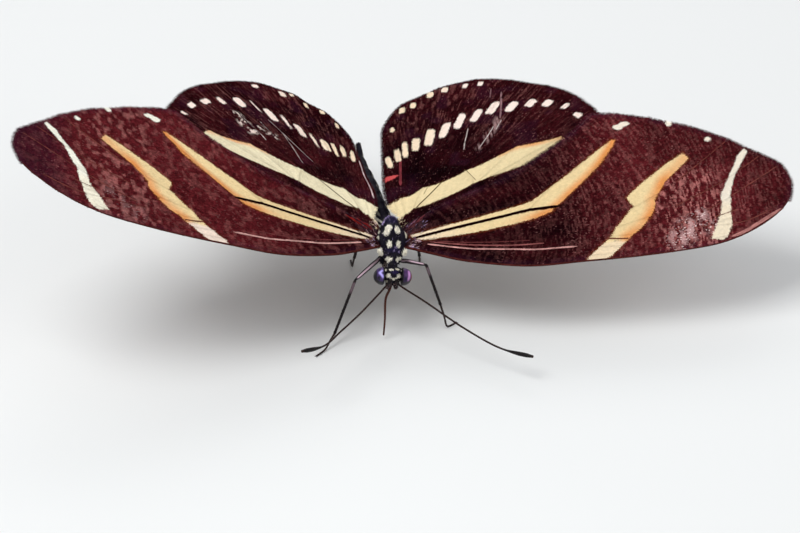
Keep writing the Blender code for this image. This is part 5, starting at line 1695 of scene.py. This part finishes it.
def make_leg(node, joints, seed):
    """A walking leg: hip, thigh, shin with thorns, five foot joints and claws."""
    draw = np.random.default_rng(seed)
    hip, knee, ankle, foot = [BODY_PLACE + np.array(j) for j in joints]
    inward = np.array((hip[0] - BODY_PLACE[0], hip[1] - BODY_PLACE[1], -1.2)) * (0.55, 0.9, 1.0)
    inward = BODY_PLACE + inward
    toe_way = unit((foot[0] - ankle[0], foot[1] - ankle[1], 0.0))
    toe = np.array((foot[0], foot[1], TARSUS_RADIUS + 0.01))
    heel = toe - toe_way * 1.4
    heel[2] = TARSUS_RADIUS + 0.12
    parts = []

    def add_thorn(base, tip, radius, tint):
        """A thorn or claw of one colour."""
        parts.append((*cone(base, tip, radius), tint))

    # Hip and thigh, with the pale stripe.
    upper = np.array([inward, hip, hip * 0.7 + knee * 0.3, hip * 0.3 + knee * 0.7, knee])
    upper, gone = even_path(through(upper, 0.1), 0.08)
    t = gone / gone[-1]
    swell = 0.85 + 0.3 * np.sin(math.pi * np.clip(t * 1.2, 0.0, 1.0))
    radii = 0.25 * swell * (1.0 - 0.3 * smooth((t - 0.85) / 0.15))
    sides = 14
    points, triangles = tube(upper, radii, sides, flatten=0.85)
    away = unit_rows(points[:-2] - np.repeat(upper, sides, axis=0))
    way = path_way(upper)
    front = unit_rows(STRIPE_WAY - way * (way @ STRIPE_WAY)[:, None])
    facing = np.sum(away * np.repeat(front, sides, axis=0), axis=1)
    along = np.repeat(t, sides)
    stripe = (smooth((facing - 0.91) / 0.05) * smooth((along - 0.14) / 0.08)
              * smooth((0.98 - along) / 0.05))
    tint = mix(linear(15, 7, 10), linear(240, 208, 222), stripe * 0.95)
    tint = np.vstack([tint, np.broadcast_to(linear(15, 7, 10), (2, 3))])
    parts.append((points, triangles, tint))

    # Shin, its thorns and its two spurs.
    lower, gone = even_path(through([knee, knee * 0.5 + ankle * 0.5, ankle], 0.1), 0.08)
    t = gone / gone[-1]
    radii = (SHIN_RADIUS * (1.15 - 0.2 * t) * (1.0 + 0.25 * smooth((t - 0.92) / 0.08))
             * (1.0 - 0.25 * np.exp(-(t / 0.03) ** 2)))
    sides = 12
    points, triangles = tube(lower, radii, sides)
    share = ring_values(t, sides, (0.0, 1.0))
    pale = smooth((0.28 - share) / 0.08) * smooth((share - 0.03) / 0.03) * 0.3
    parts.append((points, triangles, mix(linear(18, 8, 12), linear(168, 142, 152), pale)))
    along = unit(ankle - knee)
    for index in range(SHIN_THORNS):
        at = 0.15 + 0.8 * index / (SHIN_THORNS - 1)
        aside = unit(np.cross(along, draw.normal(0.0, 1.0, 3)))
        base = knee * (1.0 - at) + ankle * at + aside * 0.12
        add_thorn(base, base + aside * 0.16 + along * 0.2, 0.022, linear(20, 12, 12))
    for turn in (1.0, -1.0):
        aside = unit(np.cross(along, (0.0, 0.0, 1.0))) * turn
        base = ankle - along * 0.1 + aside * 0.1
        add_thorn(base, base + along * 0.55 + aside * 0.12, 0.035, linear(30, 18, 16))

    # Foot joints and claws.
    course, gone = even_path(through([ankle, ankle * 0.45 + heel * 0.55, heel, toe], 0.08), 0.04)
    t = gone / gone[-1]
    pinch = np.ones(len(t))
    for at in (0.46, 0.62, 0.75, 0.87):
        pinch -= 0.3 * np.exp(-((t - at) / 0.012) ** 2)
        pinch += 0.12 * np.exp(-((t - at + 0.02) / 0.012) ** 2)
    points, triangles = tube(course, TARSUS_RADIUS * pinch * (1.05 - 0.15 * t), sides)
    points[:, 2] = np.maximum(points[:, 2], 0.0)
    dark = ring_values(pinch, sides, (1.0, 1.0))
    tint = mix(linear(16, 9, 9), linear(40, 22, 18), smooth((dark - 0.75) / 0.3))
    parts.append((points, triangles, tint))
    for turn in (1.0, -1.0):
        aside = np.cross(toe_way, (0.0, 0.0, 1.0)) * turn
        tip = toe + toe_way * 0.22 + aside * 0.16
        tip[2] = 0.01
        add_thorn(toe + aside * 0.06, tip, 0.04, linear(24, 13, 12))

    points, triangles, tint = joined(parts)
    chart = 0.5 + (points - hip)[:, [0, 2]] / 30.0
    piece = make_piece(node + "_horn", points, triangles, LEG_LOOK, tint, chart)
    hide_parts(node)
    hair = blades_on_tube(lower, path_lengths(lower), np.full(len(lower), SHIN_RADIUS), 500, 0.13,
                          0.03, 0.75, flecked(linear(17, 8, 11), linear(70, 44, 48), 0.9, 0.7),
                          seed + 1)
    make_piece(node + "_hair", hair[0], hair[1], HAIR_LOOK, hair[2], hair[3])


for number, (node, joints) in enumerate(LEGS.items()):
    make_leg(node, joints, LEG_SEED + 10 * number)

BRUSH_COURSE = [(1.6, 0.45, -1.5), (1.75, 0.5, -1.97), (2.1, 0.55, -2.4), (1.5, 0.58, -2.64),
                (0.5, 0.55, -2.68)]


def make_brush(node, turn):
    """A small folded brush leg covered in hair."""
    path = np.array([from_body(f, l * turn, u) for f, l, u in through(BRUSH_COURSE, 0.1)])
    path, gone = even_path(path, 0.06)
    t = gone / gone[-1]
    radii = 0.15 * (1.0 - 0.3 * t)
    sides = 12
    points, triangles = tube(path, radii, sides)
    tint = np.broadcast_to(linear(40, 24, 24), points.shape)
    piece = make_piece(node + "_core", points, triangles, LEG_LOOK, tint,
                       tube_chart(len(t), sides, t))
    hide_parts(node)
    hair = blades_on_tube(path, gone, radii, 900, 0.24, 0.04, 0.7,
                          flecked(linear(36, 24, 26), linear(190, 172, 160), 0.6, 0.8),
                          BRUSH_SEED + int(turn))
    make_piece(node + "_hair", hair[0], hair[1], HAIR_LOOK, hair[2], hair[3])


make_brush("foreleg_left", 1.0)
make_brush("foreleg_right", -1.0)

# Floor, light and camera.
FLOOR_HALF = 1.5
floor_mesh = bpy.data.meshes.new("floor")
floor_mesh.from_pydata([(x * FLOOR_HALF, y * FLOOR_HALF, 0.0)
                        for x, y in ((-1, -1), (1, -1), (1, 1), (-1, 1))], [], [(0, 1, 2, 3)])
floor = bpy.data.objects.new("floor", floor_mesh)
bpy.context.scene.collection.objects.link(floor)
floor_look = bpy.data.materials.new("pale_floor")
floor_look.use_nodes = True
floor_shader = floor_look.node_tree.nodes["Principled BSDF"]
floor_shader.inputs["Base Color"].default_value = (0.78, 0.79, 0.78, 1.0)
floor_shader.inputs["Roughness"].default_value = 0.85
floor_mesh.materials.append(floor_look)


LIGHT_TARGET = Vector((0.0, 0.0, 0.01))


def area_light(name, place, power, size):
    """A soft square light that looks at the butterfly."""
    lamp = bpy.data.lights.new(name, "AREA")
    lamp.energy = power
    lamp.size = size
    item = bpy.data.objects.new(name, lamp)
    item.location = place
    item.rotation_euler = (LIGHT_TARGET - Vector(place)).to_track_quat("-Z", "Y").to_euler()
    bpy.context.scene.collection.objects.link(item)


area_light("key", (-0.16, -0.12, 0.36), 1.1, 0.22)
area_light("fill", (0.3, -0.25, 0.22), 0.45, 0.3)
area_light("back", (0.05, 0.32, 0.25), 0.45, 0.3)
world = bpy.data.worlds.new("studio")
world.use_nodes = True
background = world.node_tree.nodes["Background"]
background.inputs["Color"].default_value = (0.93, 0.95, 1.0, 1.0)
background.inputs["Strength"].default_value = 0.45
bpy.context.scene.world = world
bpy.context.scene.view_settings.view_transform = "Standard"

# The camera of the photo: direction, distance in mm, pixels per mm at the thorax, and how many
# pixels right and up the picture's middle lies from the thorax.
VIEW_AZIMUTH = math.radians(-3.5)
VIEW_ELEVATION = math.radians(30.0)
VIEW_DISTANCE = 500.0
PICTURE_WIDTH = 800.0
PIXELS_PER_MM = 9.35
MIDDLE_FROM_THORAX = (9.0, -26.5)
SENSOR_WIDTH = 36.0
toward = Vector((math.sin(VIEW_AZIMUTH) * math.cos(VIEW_ELEVATION),
                 -math.cos(VIEW_AZIMUTH) * math.cos(VIEW_ELEVATION), math.sin(VIEW_ELEVATION)))
camera_data = bpy.data.cameras.new("camera")
camera_data.sensor_width = SENSOR_WIDTH
camera_data.lens = PIXELS_PER_MM * VIEW_DISTANCE * SENSOR_WIDTH / PICTURE_WIDTH
camera_data.shift_x = MIDDLE_FROM_THORAX[0] / PICTURE_WIDTH
camera_data.shift_y = MIDDLE_FROM_THORAX[1] / PICTURE_WIDTH
camera_data.clip_start = 0.01
camera_data.clip_end = 20.0
camera = bpy.data.objects.new("camera", camera_data)
camera.location = (Vector(BODY_PLACE) + toward * VIEW_DISTANCE) * MM
camera.rotation_euler = (-toward).to_track_quat("-Z", "Y").to_euler()
bpy.context.scene.collection.objects.link(camera)
bpy.context.scene.camera = camera

bpy.context.view_layer.update()
